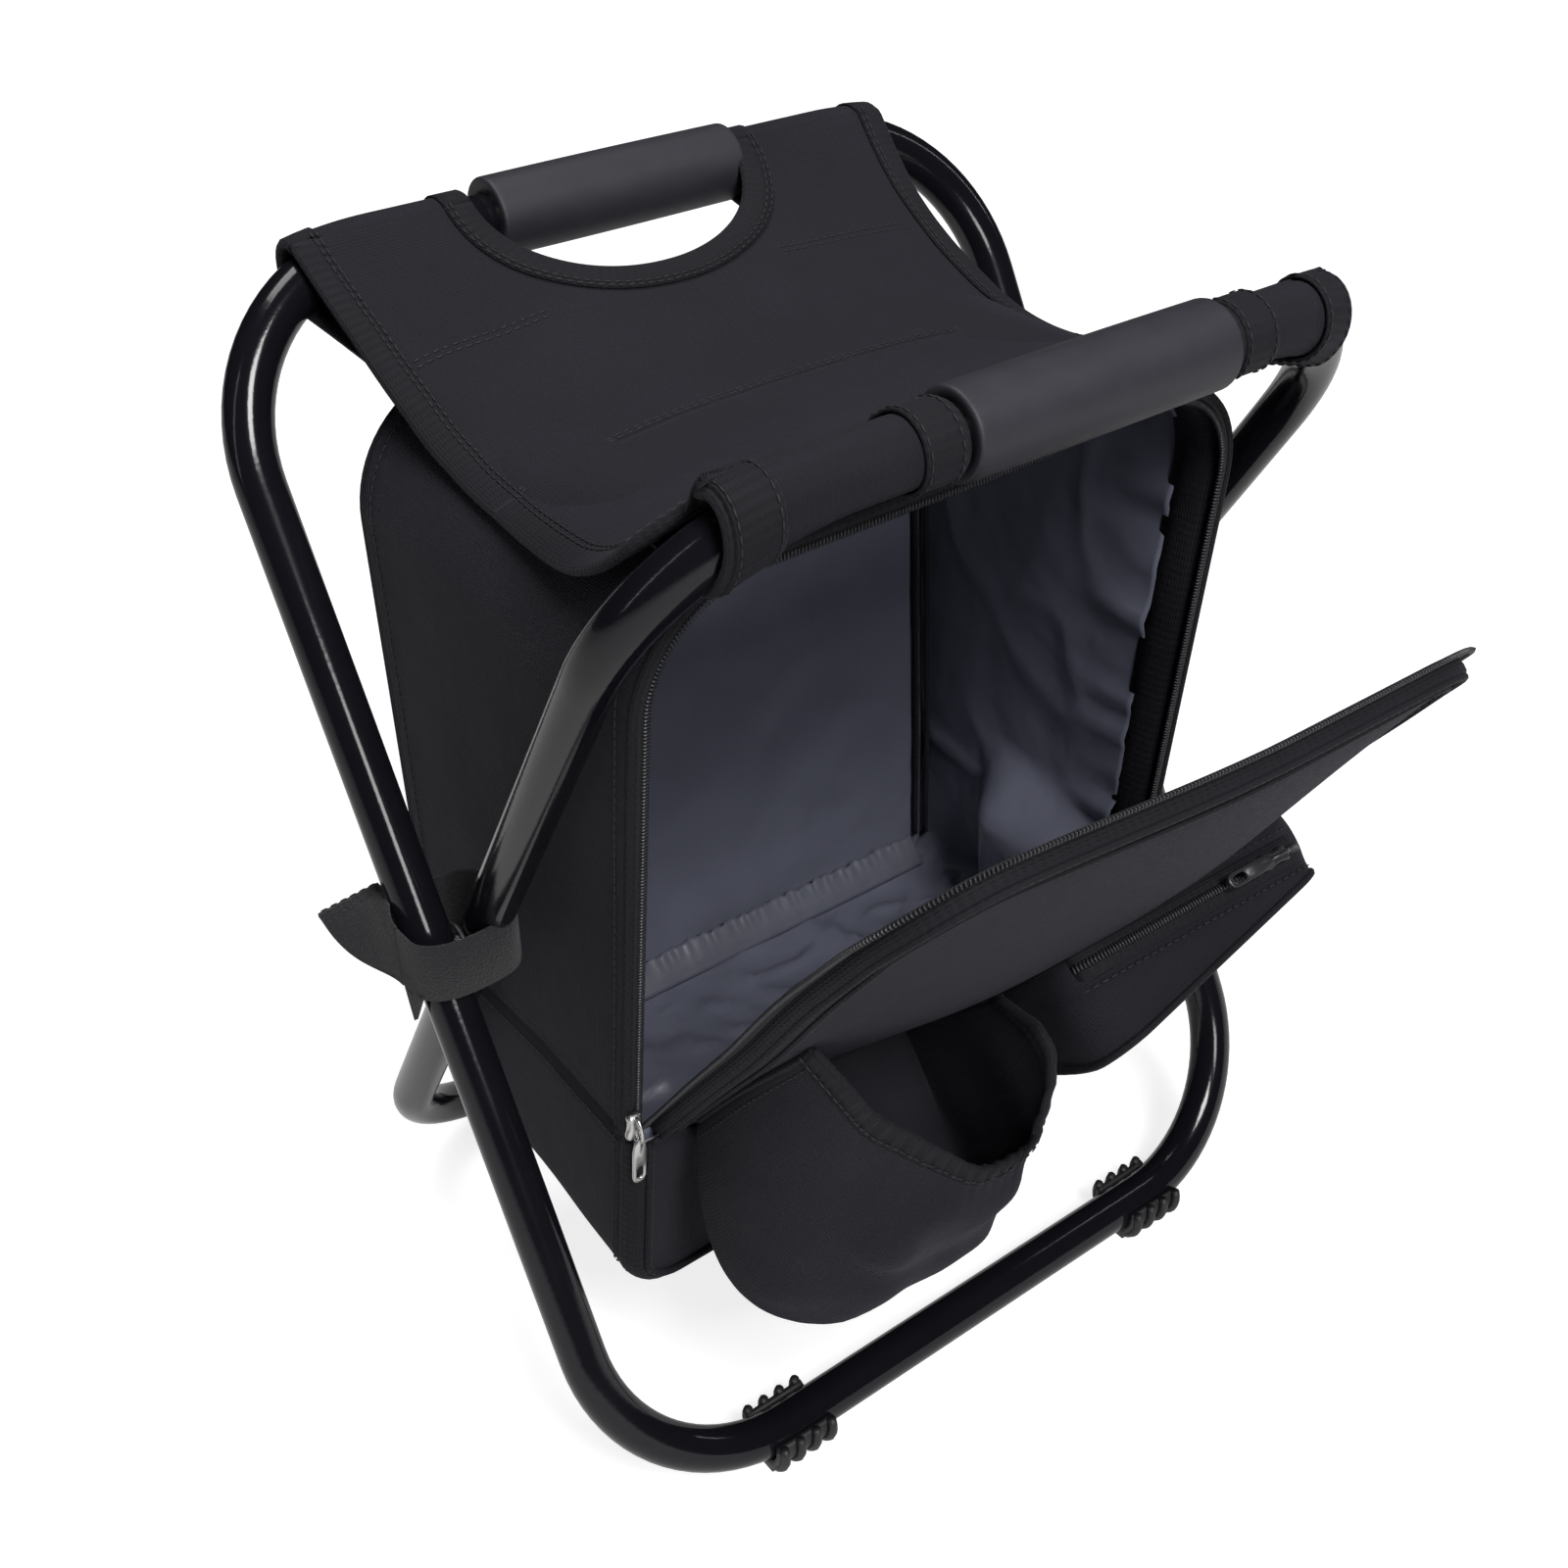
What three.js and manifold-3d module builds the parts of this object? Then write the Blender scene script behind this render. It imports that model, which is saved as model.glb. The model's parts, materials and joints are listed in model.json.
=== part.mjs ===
// Folding cooler stool: two crossing tube loops, a fabric seat slung between their top bars,
// and an insulated bag that hangs under the seat and opens at the front with a zipped flap.
// Millimetres, +Z up. -Y is the front, where the flap is. The origin is on the floor,
// in the middle of the stool's footprint.

import * as THREE from 'three';
import { mergeVertices } from 'three/addons/utils/BufferGeometryUtils.js';
import Module from 'manifold-3d';

const wasm = await Module();
wasm.setup();

const { cos, sin, tan, sqrt, asin, abs, PI } = Math;
const rad = THREE.MathUtils.degToRad;
const lerp = THREE.MathUtils.lerp;

// Driving dimensions of the frame
const tubeDiameter = 17;
const tubeWall = 1;
const legSpread = 320;         // between the centre lines of the wider loop's legs
const legGap = 2;              // washer space between two crossing legs
const bendRadius = 66;         // centre line of the four bends of a loop
const pivotHeight = 206;
const topBarHeight = 406;
const outerLean = rad(29.5);   // wider loop: rear top bar, front foot bar
const innerLean = rad(31);     // narrower loop: front top bar, rear foot bar
const rivetDiameter = 6;
const rivetHeadDiameter = 10;
const rivetHeadHeight = 2;
const rivetCrownDiameter = 6;  // flat top of a domed rivet head
const washerDiameter = 15;

// Driving dimensions of the rubber feet and the foam grips
const footSole = 4.2;          // rubber under the tube
const footFlank = 3;           // rubber beside the tube
const footLip = 2;             // how far the clip reaches above the tube's centre
const footLength = 26;
const frontFootSpacing = 186;  // between the two feet of the front bar
const rearFootSpacing = 150;
const footRibs = 4;
const footRibHeight = 1.6;
const footRibWidth = 3;
const footRibLift = 2.4;       // the ribs end this far above the floor
const gripDiameter = 28;
const gripLength = 102;
const gripChamfer = 1.5;
const frontGripShift = 7;      // the front grip sits a little right of the middle

// Driving dimensions of the seat
const sleeveCloth = 1.8;       // the folded cloth round a bar
const rearSleeveReach = 124;   // outer end of a rear sleeve, from the middle
const frontSleeveReach = 119;
const seatHalf = 124;
const seatThickness = 2.4;
const seatSag = 32;            // middle of the seat cloth, below the bars' centre lines
const seatMeetAngle = rad(52); // where the seat cloth leaves the sleeve, above horizontal
const handHoleHalf = 56;       // half width of the hand cut-out at each bar
const handHoleDepth = 43;      // from the bar's centre line into the seat
const frontCornerCut = 34;     // how far back the seat's front corners are rounded off
const frontCornerWidth = 20;

// Driving dimensions of the bag
const bagSideGap = 4.5;        // between the bag's sides and the narrower loop's legs
const bagBottom = 76;
const bagTopRadius = 45;
const bagBottomRadius = 32;
const hingeHeight = 148;       // fold of the front flap
const frontAtHinge = 62;       // the bag's front plane, forward of the pivot, at the fold
const backAtHinge = 74;
const frontLean = rad(6.3);
const backLean = rad(1.8);
const clothThickness = 1.2;
const foamThickness = 4;
const liningThickness = 0.8;
const flapAngle = rad(31.7);   // the flap stands open by this much
const zipTape = 5.2;           // width of one half of the zip
const zipThickness = 1.7;
const zipGap = 0.6;            // between the two halves when the flap is shut

// Driving dimensions of the pockets, on the flap's outer face
const pocketMargin = 22;       // from the bag's side to the nearest pocket
const bottleWidth = 86;
const bottleLow = 6;           // above the flap's fold
const bottleRim = 106;         // rim at the flap's face
const bottleRimFront = 66;     // rim at the front of the pouch
const bottleDepth = 84;        // at the bottom
const bottleRimDepth = 58;
const pouchWidth = 106;
const pouchLow = 8;
const pouchHigh = 112;
const pouchDepth = 40;
const pouchRadius = 16;
const pocketCloth = 1.6;

// Driving dimensions of the zip sliders and the side straps
const sliderWidth = 6.4;
const sliderLength = 12;
const sliderHeight = 3.6;
const sliderStart = 3;         // above the flap's fold
const pullWidth = 6.4;
const pullLength = 24;
const pullThickness = 1.4;
const pullSlotWidth = 3;
const pullSlotLength = 7;
const pullSlotRadius = 1.3;
const pullEyeWall = 0.8;       // metal of the pull's eye round its pin
const pinDiameter = 1.4;
const pinPlace = 4;            // the pin, from the slider's lower end
const earThickness = 1.1;
const strapWidth = 24;
const strapThickness = 1.5;
const strapTail = 16;          // loose end behind the leg
const strapCorner = 8;

// Clearances
const fit = 0.3;               // between pieces that touch
const rivetFit = 0.3;
const legClearance = 0.6;      // between a side strap and the crossing legs

// Facets
const tubeSides = 14;
const boreSides = 8;
const bendSteps = 7;
const roundSides = 20;
const pinSides = 10;           // rivets, washers and the pins of the zip pulls
const curveSegments = 6;
const seatColumns = 20;
const seatRows = 14;
const pouchSteps = 14;

// Sizes that follow
const tubeRadius = tubeDiameter / 2;
const outerHalf = legSpread / 2;
const innerHalf = outerHalf - tubeDiameter - legGap;
const footBarHeight = footSole + fit + tubeRadius;
const rise = topBarHeight - pivotHeight;
const drop = pivotHeight - footBarHeight;

// A loop of the frame: half its width, the way its top leans, and its reach above and below the pivot
function frameLoop(half, side, lean) {
  return { half, side, lean, up: rise / cos(lean), down: drop / cos(lean) };
}

const outer = frameLoop(outerHalf, 1, outerLean);
const inner = frameLoop(innerHalf, -1, innerLean);
const sleeveRadius = tubeRadius + fit + sleeveCloth;
const seatMidHeight = topBarHeight - seatSag;
const bagHalf = innerHalf - tubeRadius - bagSideGap;
const bagTop = seatMidHeight - seatThickness / 2 - fit;
const bottleLeft = pocketMargin - bagHalf;
const bottleRight = bottleLeft + bottleWidth;
const pouchRight = bagHalf - pocketMargin;
const pouchLeft = pouchRight - pouchWidth;
const wallLayers = clothThickness + fit + foamThickness + fit + liningThickness;
const flapThickness = fit + wallLayers;
const planeTop = (bagTop - hingeHeight) / cos(frontLean);
const planeBottom = (bagBottom - hingeHeight) / cos(frontLean);

function material(color, roughness, metalness = 0) {
  return () => new THREE.MeshStandardMaterial({ color, roughness, metalness });
}

const paintedSteel = material(0x0b0b0d, 0.22, 0.4);
const zincSteel = material(0xb9babd, 0.35, 1);
const blackRubber = material(0x101011, 0.7);
const gripFoam = material(0x1b1c1f, 0.75);
const blackCloth = material(0x0d0d10, 0.9);
const greyLining = material(0x3d424c, 0.42);
const whiteFoam = material(0xd9dade, 0.95);
const blackZip = material(0x121214, 0.6);
const loopTape = material(0x18181a, 0.95);

const stool = new THREE.Group();

function add(group, name, geometry, finish) {
  const mesh = new THREE.Mesh(geometry, finish());
  mesh.name = name;
  group.add(mesh);
  return mesh;
}

// Solid modelling helpers

function solid(geometry) {
  const bare = geometry.clone();
  bare.deleteAttribute('normal');
  bare.deleteAttribute('uv');
  const merged = mergeVertices(bare, 1e-4);
  const vertProperties = new Float32Array(merged.attributes.position.array);
  const triVerts = new Uint32Array(merged.index.array);
  return new wasm.Manifold(new wasm.Mesh({ numProp: 3, vertProperties, triVerts }));
}

function shell(body) {
  const { vertProperties, triVerts } = body.getMesh();
  return indexed(vertProperties, triVerts);
}

function indexed(positions, indices) {
  const geometry = new THREE.BufferGeometry();
  geometry.setAttribute('position', new THREE.BufferAttribute(new Float32Array(positions), 3));
  geometry.setIndex(new THREE.BufferAttribute(new Uint32Array(indices), 1));
  geometry.computeVertexNormals();
  return geometry;
}

function cut(geometry, ...tools) {
  return shell(tools.reduce((body, tool) => body.subtract(solid(tool)), solid(geometry)));
}

function join(geometry, ...others) {
  return shell(others.reduce((body, other) => body.add(solid(other)), solid(geometry)));
}

// A box between two corners
function block(low, high) {
  const size = high.map((value, i) => value - low[i]);
  const middle = high.map((value, i) => (value + low[i]) / 2);
  return new THREE.BoxGeometry(...size).translate(...middle);
}

// A round rod along X between two places
function rod(radius, fromX, toX, sides = roundSides) {
  const geometry = new THREE.CylinderGeometry(radius, radius, abs(toX - fromX), sides);
  return geometry.rotateZ(PI / 2).translate((fromX + toX) / 2, 0, 0);
}

// A profile of radius and place, turned about X
function turned(profile, sides = roundSides) {
  const points = profile.map(([radius, along]) => new THREE.Vector2(radius, along));
  return new THREE.LatheGeometry(points, sides).rotateZ(-PI / 2);
}

function extruded(shape, depth) {
  return new THREE.ExtrudeGeometry(shape, { depth, bevelEnabled: false, curveSegments });
}

function moved(geometry, change) {
  const place = geometry.attributes.position;
  const point = new THREE.Vector3();
  for (let i = 0; i < place.count; i += 1) {
    point.fromBufferAttribute(place, i);
    change(point);
    place.setXYZ(i, point.x, point.y, point.z);
  }
  return geometry;
}

// A tube along a path in the XZ plane, closed on itself or with flat ends
function tube(path, radius, sides, closed) {
  const count = path.length;
  const across = new THREE.Vector3(0, 1, 0);
  const positions = [];
  const indices = [];
  path.forEach((point, i) => {
    const before = closed || i > 0 ? path[(i + count - 1) % count] : null;
    const after = closed || i < count - 1 ? path[(i + 1) % count] : null;
    const along = new THREE.Vector3();
    if (before) along.add(point.clone().sub(before).normalize());
    if (after) along.add(after.clone().sub(point).normalize());
    const inPlane = along.normalize().cross(across);
    for (let k = 0; k < sides; k += 1) {
      const turn = (2 * PI * k) / sides;
      const place = point.clone();
      place.addScaledVector(inPlane, radius * cos(turn)).addScaledVector(across, radius * sin(turn));
      positions.push(...place.toArray());
    }
  });
  const spans = closed ? count : count - 1;
  for (let i = 0; i < spans; i += 1) {
    const ring = i * sides;
    const next = ((i + 1) % count) * sides;
    for (let k = 0; k < sides; k += 1) {
      const k2 = (k + 1) % sides;
      indices.push(ring + k, next + k, next + k2, ring + k, next + k2, ring + k2);
    }
  }
  if (!closed) {
    const last = (count - 1) * sides;
    for (let k = 1; k < sides - 1; k += 1) {
      indices.push(0, k, k + 1);
      indices.push(last, last + k + 1, last + k);
    }
  }
  return indexed(positions, indices);
}

// A closed sheet: place(a, b, side) gives the point at a and b, from 0 to 1, on its upper or lower face
function sheet(columns, rows, place) {
  const positions = [];
  const indices = [];
  const face = (columns + 1) * (rows + 1);
  for (const side of [1, -1]) {
    for (let i = 0; i <= columns; i += 1) {
      for (let j = 0; j <= rows; j += 1) {
        positions.push(...place(i / columns, j / rows, side).toArray());
      }
    }
  }
  const at = (i, j) => i * (rows + 1) + j;
  for (let i = 0; i < columns; i += 1) {
    for (let j = 0; j < rows; j += 1) {
      const quad = [at(i, j), at(i, j + 1), at(i + 1, j + 1), at(i + 1, j)];
      indices.push(quad[0], quad[1], quad[2], quad[0], quad[2], quad[3]);
      const under = quad.map((index) => index + face);
      indices.push(under[0], under[2], under[1], under[0], under[3], under[2]);
    }
  }
  const rim = [];
  for (let i = 0; i < columns; i += 1) rim.push(at(i, 0));
  for (let j = 0; j < rows; j += 1) rim.push(at(columns, j));
  for (let i = columns; i > 0; i -= 1) rim.push(at(i, rows));
  for (let j = rows; j > 0; j -= 1) rim.push(at(0, j));
  rim.forEach((index, k) => {
    const next = rim[(k + 1) % rim.length];
    indices.push(index, next, next + face, index, next + face, index + face);
  });
  return indexed(positions, indices);
}

// The two loops of the frame. Each is built upright in the XZ plane about the pivot, then leaned.

function loopGroup(loop) {
  const group = new THREE.Group();
  group.position.z = pivotHeight;
  group.rotation.x = -loop.side * loop.lean;
  stool.add(group);
  return group;
}

function arc(x, z, from, to, steps) {
  return Array.from({ length: steps + 1 }, (_, i) => {
    const turn = lerp(from, to, i / steps);
    return new THREE.Vector3(x + bendRadius * cos(turn), 0, z + bendRadius * sin(turn));
  });
}

function loopPath({ half, up, down }) {
  const straight = half - bendRadius;
  return [
    ...arc(straight, up - bendRadius, 0, PI / 2, bendSteps),
    ...arc(-straight, up - bendRadius, PI / 2, PI, bendSteps),
    ...arc(-straight, bendRadius - down, PI, 1.5 * PI, bendSteps),
    ...arc(straight, bendRadius - down, 1.5 * PI, 2 * PI, bendSteps),
  ];
}

function loopTube(loop) {
  const path = loopPath(loop);
  const reach = loop.half + tubeDiameter;
  const bore = tube(path, tubeRadius - tubeWall, boreSides, true);
  const rivetHoles = rod(rivetDiameter / 2 + rivetFit, -reach, reach, pinSides);
  return cut(tube(path, tubeRadius, tubeSides, true), bore, rivetHoles);
}

// How far a loop's top bar has bent down at a place along X
function bendDrop(loop, x) {
  const past = Math.max(0, abs(x) - (loop.half - bendRadius));
  return bendRadius - sqrt(Math.max(0, bendRadius ** 2 - past ** 2));
}

// A loop's top bar from one end to the other, with the bend in small steps
function topBarPath(loop, inX, outX) {
  const straight = loop.half - bendRadius;
  const bend = Math.max(0, asin((abs(outX) - straight) / bendRadius));
  const way = Math.sign(outX);
  const steps = Math.max(1, Math.round((bend / (PI / 2)) * bendSteps));
  const points = [new THREE.Vector3(inX, 0, loop.up)];
  for (let i = 0; i <= steps; i += 1) {
    const turn = (bend * i) / steps;
    const x = way * (straight + bendRadius * sin(turn));
    points.push(new THREE.Vector3(x, 0, loop.up - bendRadius * (1 - cos(turn))));
  }
  return points;
}

// The space that a loop's tube needs, for what clips on it or is sewn round it
function tubeSpace(loop) {
  return tube(loopPath(loop), tubeRadius + fit, tubeSides, true);
}

function sleeve(loop, inX, outX) {
  return cut(tube(topBarPath(loop, inX, outX), sleeveRadius, tubeSides, false), tubeSpace(loop));
}

function grip() {
  const bore = tubeRadius + fit;
  const rim = gripDiameter / 2;
  const half = gripLength / 2;
  const profile = [
    [bore, -half],
    [rim - gripChamfer, -half],
    [rim, gripChamfer - half],
    [rim, half - gripChamfer],
    [rim - gripChamfer, half],
    [bore, half],
    [bore, -half],
  ];
  return turned(profile);
}

function addTopBarPieces(loop, group, word, shift, reach) {
  add(group, `${word}_grip`, grip().translate(shift, 0, loop.up), gripFoam);
  for (const [name, way] of [['left', -1], ['right', 1]]) {
    const inX = shift + way * (gripLength / 2 + fit);
    add(group, `${word}_sleeve_${name}`, sleeve(loop, inX, way * reach), blackCloth);
  }
}

const outerGroup = loopGroup(outer);
add(outerGroup, 'outer_frame_tube', loopTube(outer), paintedSteel);
addTopBarPieces(outer, outerGroup, 'rear', 0, rearSleeveReach);

const innerGroup = loopGroup(inner);
add(innerGroup, 'inner_frame_tube', loopTube(inner), paintedSteel);
addTopBarPieces(inner, innerGroup, 'front', frontGripShift, frontSleeveReach);

// The pivot: a rivet through both legs of a side, with a washer between the legs

const rivetTop = outerHalf + tubeRadius + fit;
const rivetFoot = innerHalf - tubeRadius - fit;

function rivet() {
  const head = rivetHeadDiameter / 2;
  const crown = rivetCrownDiameter / 2;
  const profile = [
    [0, rivetFoot - rivetHeadHeight],
    [crown, rivetFoot - rivetHeadHeight],
    [head, rivetFoot - rivetHeadHeight / 2],
    [head, rivetFoot],
    [rivetDiameter / 2, rivetFoot],
    [rivetDiameter / 2, rivetTop],
    [head, rivetTop],
    [head, rivetTop + rivetHeadHeight / 2],
    [crown, rivetTop + rivetHeadHeight],
    [0, rivetTop + rivetHeadHeight],
  ];
  return turned(profile, pinSides);
}

function washer() {
  const bore = rivetDiameter / 2 + rivetFit;
  const low = innerHalf + tubeRadius + fit;
  const high = outerHalf - tubeRadius - fit;
  const rim = washerDiameter / 2;
  return turned([[bore, low], [rim, low], [rim, high], [bore, high], [bore, low]], pinSides);
}

for (const [name, way] of [['left', -1], ['right', 1]]) {
  const turn = way > 0 ? 0 : PI;
  add(stool, `pivot_rivet_${name}`, rivet().rotateZ(turn).translate(0, 0, pivotHeight), zincSteel);
  add(stool, `pivot_washer_${name}`, washer().rotateZ(turn).translate(0, 0, pivotHeight), blackRubber);
}

// Rubber feet: clips on the foot bars with a flat sole and ribbed flanks

function footShape(flank, sole) {
  const bore = tubeRadius + fit;
  const reach = bore + flank;
  const shape = new THREE.Shape();
  shape.moveTo(-reach, footLip);
  shape.lineTo(-reach, -tubeRadius / 2);
  shape.lineTo(-tubeRadius, -sole);
  shape.lineTo(tubeRadius, -sole);
  shape.lineTo(reach, -tubeRadius / 2);
  shape.lineTo(reach, footLip);
  shape.closePath();
  return shape;
}

function footSlice(flank, sole, middle, width) {
  const slice = extruded(footShape(flank, sole), width).translate(0, 0, middle - width / 2);
  return slice.rotateX(PI / 2).rotateZ(PI / 2);
}

function foot(loop, x) {
  const pitch = (footLength - footRibWidth) / (footRibs - 1);
  const first = (footRibWidth - footLength) / 2;
  const ribs = Array.from({ length: footRibs }, (_, i) => {
    const sole = footBarHeight - footRibLift;
    return footSlice(footFlank + footRibHeight, sole, first + i * pitch, footRibWidth);
  });
  const barY = -loop.side * drop * tan(loop.lean);
  const clip = join(footSlice(footFlank, footBarHeight, 0, footLength), ...ribs);
  const bar = tubeSpace(loop).rotateX(-loop.side * loop.lean).translate(0, 0, pivotHeight);
  return cut(clip.translate(x, barY, footBarHeight), bar);
}

const footPairs = [
  ['front', outer, frontFootSpacing],
  ['rear', inner, rearFootSpacing],
];
for (const [word, loop, spacing] of footPairs) {
  for (const [name, way] of [['left', -1], ['right', 1]]) {
    add(stool, `${word}_foot_${name}`, foot(loop, (way * spacing) / 2), blackRubber);
  }
}

// The seat: cloth slung from the rear sleeves to the front ones, with a hand cut-out at each bar

function seatEnd(loop, x) {
  const along = loop.up - bendDrop(loop, x);
  const stand = sleeveRadius + fit + seatThickness / 2;
  const y = loop.side * (along * sin(loop.lean) - stand * cos(seatMeetAngle));
  const z = pivotHeight + along * cos(loop.lean) + stand * sin(seatMeetAngle);
  return new THREE.Vector3(x, y, z);
}

function seatPlace(a, b, side) {
  const x = lerp(-seatHalf, seatHalf, a);
  const from = seatEnd(outer, x);
  const to = seatEnd(inner, x);
  const sag = (from.z + to.z) / 2 - seatMidHeight;
  const point = from.clone().lerp(to, b);
  point.z -= 4 * sag * b * (1 - b);
  const along = to.clone().sub(from);
  along.z -= 4 * sag * (1 - 2 * b);
  const up = new THREE.Vector3(1, 0, 0).cross(along).normalize().negate();
  return point.addScaledVector(up, (side * seatThickness) / 2);
}

function handHole(loop) {
  const barY = loop.side * rise * tan(loop.lean);
  const shape = new THREE.Shape();
  shape.absellipse(0, 0, handHoleHalf, handHoleDepth, 0, 2 * PI);
  return extruded(shape, rise).translate(loop === inner ? frontGripShift : 0, barY, pivotHeight + rise / 2);
}

// Takes a seat's front corner away along a quarter ellipse
function frontCorner(way) {
  const barY = -rise * tan(innerLean);
  const shape = new THREE.Shape();
  const inX = seatHalf - frontCornerWidth;
  const backY = barY + tubeRadius + frontCornerCut;
  shape.moveTo(way * (seatHalf + fit), backY);
  for (let i = 0; i <= curveSegments; i += 1) {
    const turn = (PI / 2) * (i / curveSegments);
    const x = inX + frontCornerWidth * cos(turn);
    shape.lineTo(way * x, backY - frontCornerCut * sin(turn));
  }
  shape.lineTo(way * inX, barY - tubeDiameter);
  shape.lineTo(way * (seatHalf + fit), barY - tubeDiameter);
  shape.closePath();
  return extruded(shape, rise).translate(0, 0, pivotHeight + rise / 2);
}

const seatCloth = sheet(seatColumns, seatRows, seatPlace);
const seatTools = [handHole(outer), handHole(inner), frontCorner(1), frontCorner(-1)];
add(stool, 'seat_panel', cut(seatCloth, ...seatTools), blackCloth);

// The bag: cloth outside, foam sheet, lining inside. It is wider from front to back at the top.

const frontAt = (z) => -frontAtHinge - tan(frontLean) * (z - hingeHeight);
const backAt = (z) => backAtHinge + tan(backLean) * (z - hingeHeight);

function bagOutline(inset) {
  const half = bagHalf - inset;
  const low = bagBottom + inset;
  const high = bagTop - inset;
  const lowRadius = bagBottomRadius - inset;
  const highRadius = bagTopRadius - inset;
  const shape = new THREE.Shape();
  shape.absarc(half - lowRadius, low + lowRadius, lowRadius, -PI / 2, 0, false);
  shape.absarc(half - highRadius, high - highRadius, highRadius, 0, PI / 2, false);
  shape.absarc(highRadius - half, high - highRadius, highRadius, PI / 2, PI, false);
  shape.absarc(lowRadius - half, low + lowRadius, lowRadius, PI, 1.5 * PI, false);
  shape.closePath();
  return shape;
}

// An outline of the front view, filled from one leaning plane back to another
function between(shape, near, far) {
  const flat = extruded(shape, 1).rotateX(PI / 2);
  return moved(flat, (point) => point.setY(lerp(near(point.z), far(point.z), 1 + point.y)));
}

function bagBand(inset, thickness) {
  const shape = bagOutline(inset);
  shape.holes.push(new THREE.Path(bagOutline(inset + thickness).getPoints(curveSegments)));
  return between(shape, frontAt, (z) => backAt(z) - inset - thickness - fit);
}

function bagBack(inset, thickness) {
  return between(bagOutline(inset), (z) => backAt(z) - inset - thickness, (z) => backAt(z) - inset);
}

const foamInset = clothThickness + fit;
const liningInset = foamInset + foamThickness + fit;
const bagLayers = [
  ['bag', 0, clothThickness, blackCloth],
  ['insulation', foamInset, foamThickness, whiteFoam],
  ['lining', liningInset, liningThickness, greyLining],
];
for (const [word, inset, thickness, finish] of bagLayers) {
  add(stool, `${word}_gusset`, bagBand(inset, thickness), finish);
  add(stool, `${word}_back`, bagBack(inset, thickness), finish);
}

// The front: a leaning plane with its origin at the fold. X runs across, Z up the plane, -Y outwards.

const front = new THREE.Group();
front.position.set(0, frontAt(hingeHeight), hingeHeight);
front.rotation.x = frontLean;
stool.add(front);

// Corner points of an arch with a flat foot: the flap's outline, drawn in by an inset
function arch(inset, low) {
  const half = bagHalf - inset;
  const high = planeTop - inset;
  const radius = bagTopRadius - inset;
  const corner = (x, from) => Array.from({ length: curveSegments + 1 }, (_, i) => {
    const turn = from - (PI / 2) * (i / curveSegments);
    return new THREE.Vector2(x + radius * cos(turn), high - radius + radius * sin(turn));
  });
  const left = corner(radius - half, PI);
  const right = corner(half - radius, PI / 2);
  return [new THREE.Vector2(-half, low), ...left, ...right, new THREE.Vector2(half, low)];
}

function lowerOutline(inset, high) {
  const half = bagHalf - inset;
  const low = planeBottom + inset;
  const radius = bagBottomRadius - inset;
  const shape = new THREE.Shape();
  shape.moveTo(-half, high);
  shape.absarc(radius - half, low + radius, radius, PI, 1.5 * PI, false);
  shape.absarc(half - radius, low + radius, radius, 1.5 * PI, 2 * PI, false);
  shape.lineTo(half, high);
  shape.closePath();
  return shape;
}

// A flat piece on the plane, from one distance outwards to another
function plate(shape, from, to) {
  return extruded(shape, to - from).rotateX(PI / 2).translate(0, -from, 0);
}

function zipHalf(outerInset, innerInset, low) {
  const shape = new THREE.Shape([...arch(outerInset, low), ...arch(innerInset, low).reverse()]);
  return plate(shape, fit, fit + zipThickness);
}

const liningFrom = fit;
const foamFrom = liningFrom + liningThickness + fit;
const clothFrom = foamFrom + foamThickness + fit;
const flapFace = clothFrom + clothThickness;
const flapZipInset = zipTape + zipGap;
const flapInset = flapZipInset + zipTape + fit;
const foldGap = fit + liningThickness;
const flapLayers = [
  ['lining', liningFrom, liningThickness, 0, greyLining],
  ['insulation', foamFrom, foamThickness, fit + clothThickness, whiteFoam],
  ['panel', clothFrom, clothThickness, 0, blackCloth],
];

add(front, 'bag_zip', zipHalf(0, zipTape, foldGap), blackZip);
for (const [word, from, thickness, inset, finish] of flapLayers) {
  const shape = lowerOutline(zipTape + inset, -foldGap);
  add(front, `lower_${word}`, plate(shape, from, from + thickness), finish);
}

// The flap turns about the outer face of the cloth at the fold

const flapHinge = new THREE.Group();
flapHinge.position.y = -flapThickness;
flapHinge.rotation.x = flapAngle;
front.add(flapHinge);
const flap = new THREE.Group();
flap.position.y = flapThickness;
flapHinge.add(flap);

add(flap, 'flap_zip', zipHalf(flapZipInset, flapInset - fit, foldGap), blackZip);
for (const [word, from, thickness, inset, finish] of flapLayers) {
  const shape = new THREE.Shape(arch(flapInset + inset, foldGap));
  add(flap, `flap_${word}`, plate(shape, from, from + thickness), finish);
}

// Bottle pocket: a slack pouch with an open, slanting rim, deeper at the bottom

const pocketFrom = flapFace + fit;

function pouchArc(inset) {
  const middle = (bottleLeft + bottleRight) / 2;
  const half = (bottleRight - bottleLeft) / 2 - inset;
  const depth = bottleDepth - inset;
  return Array.from({ length: pouchSteps + 1 }, (_, i) => {
    const turn = PI * (i / pouchSteps);
    const fullness = sqrt(sin(turn));
    return new THREE.Vector2(middle - half * cos(turn), -pocketFrom - depth * fullness);
  });
}

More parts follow.
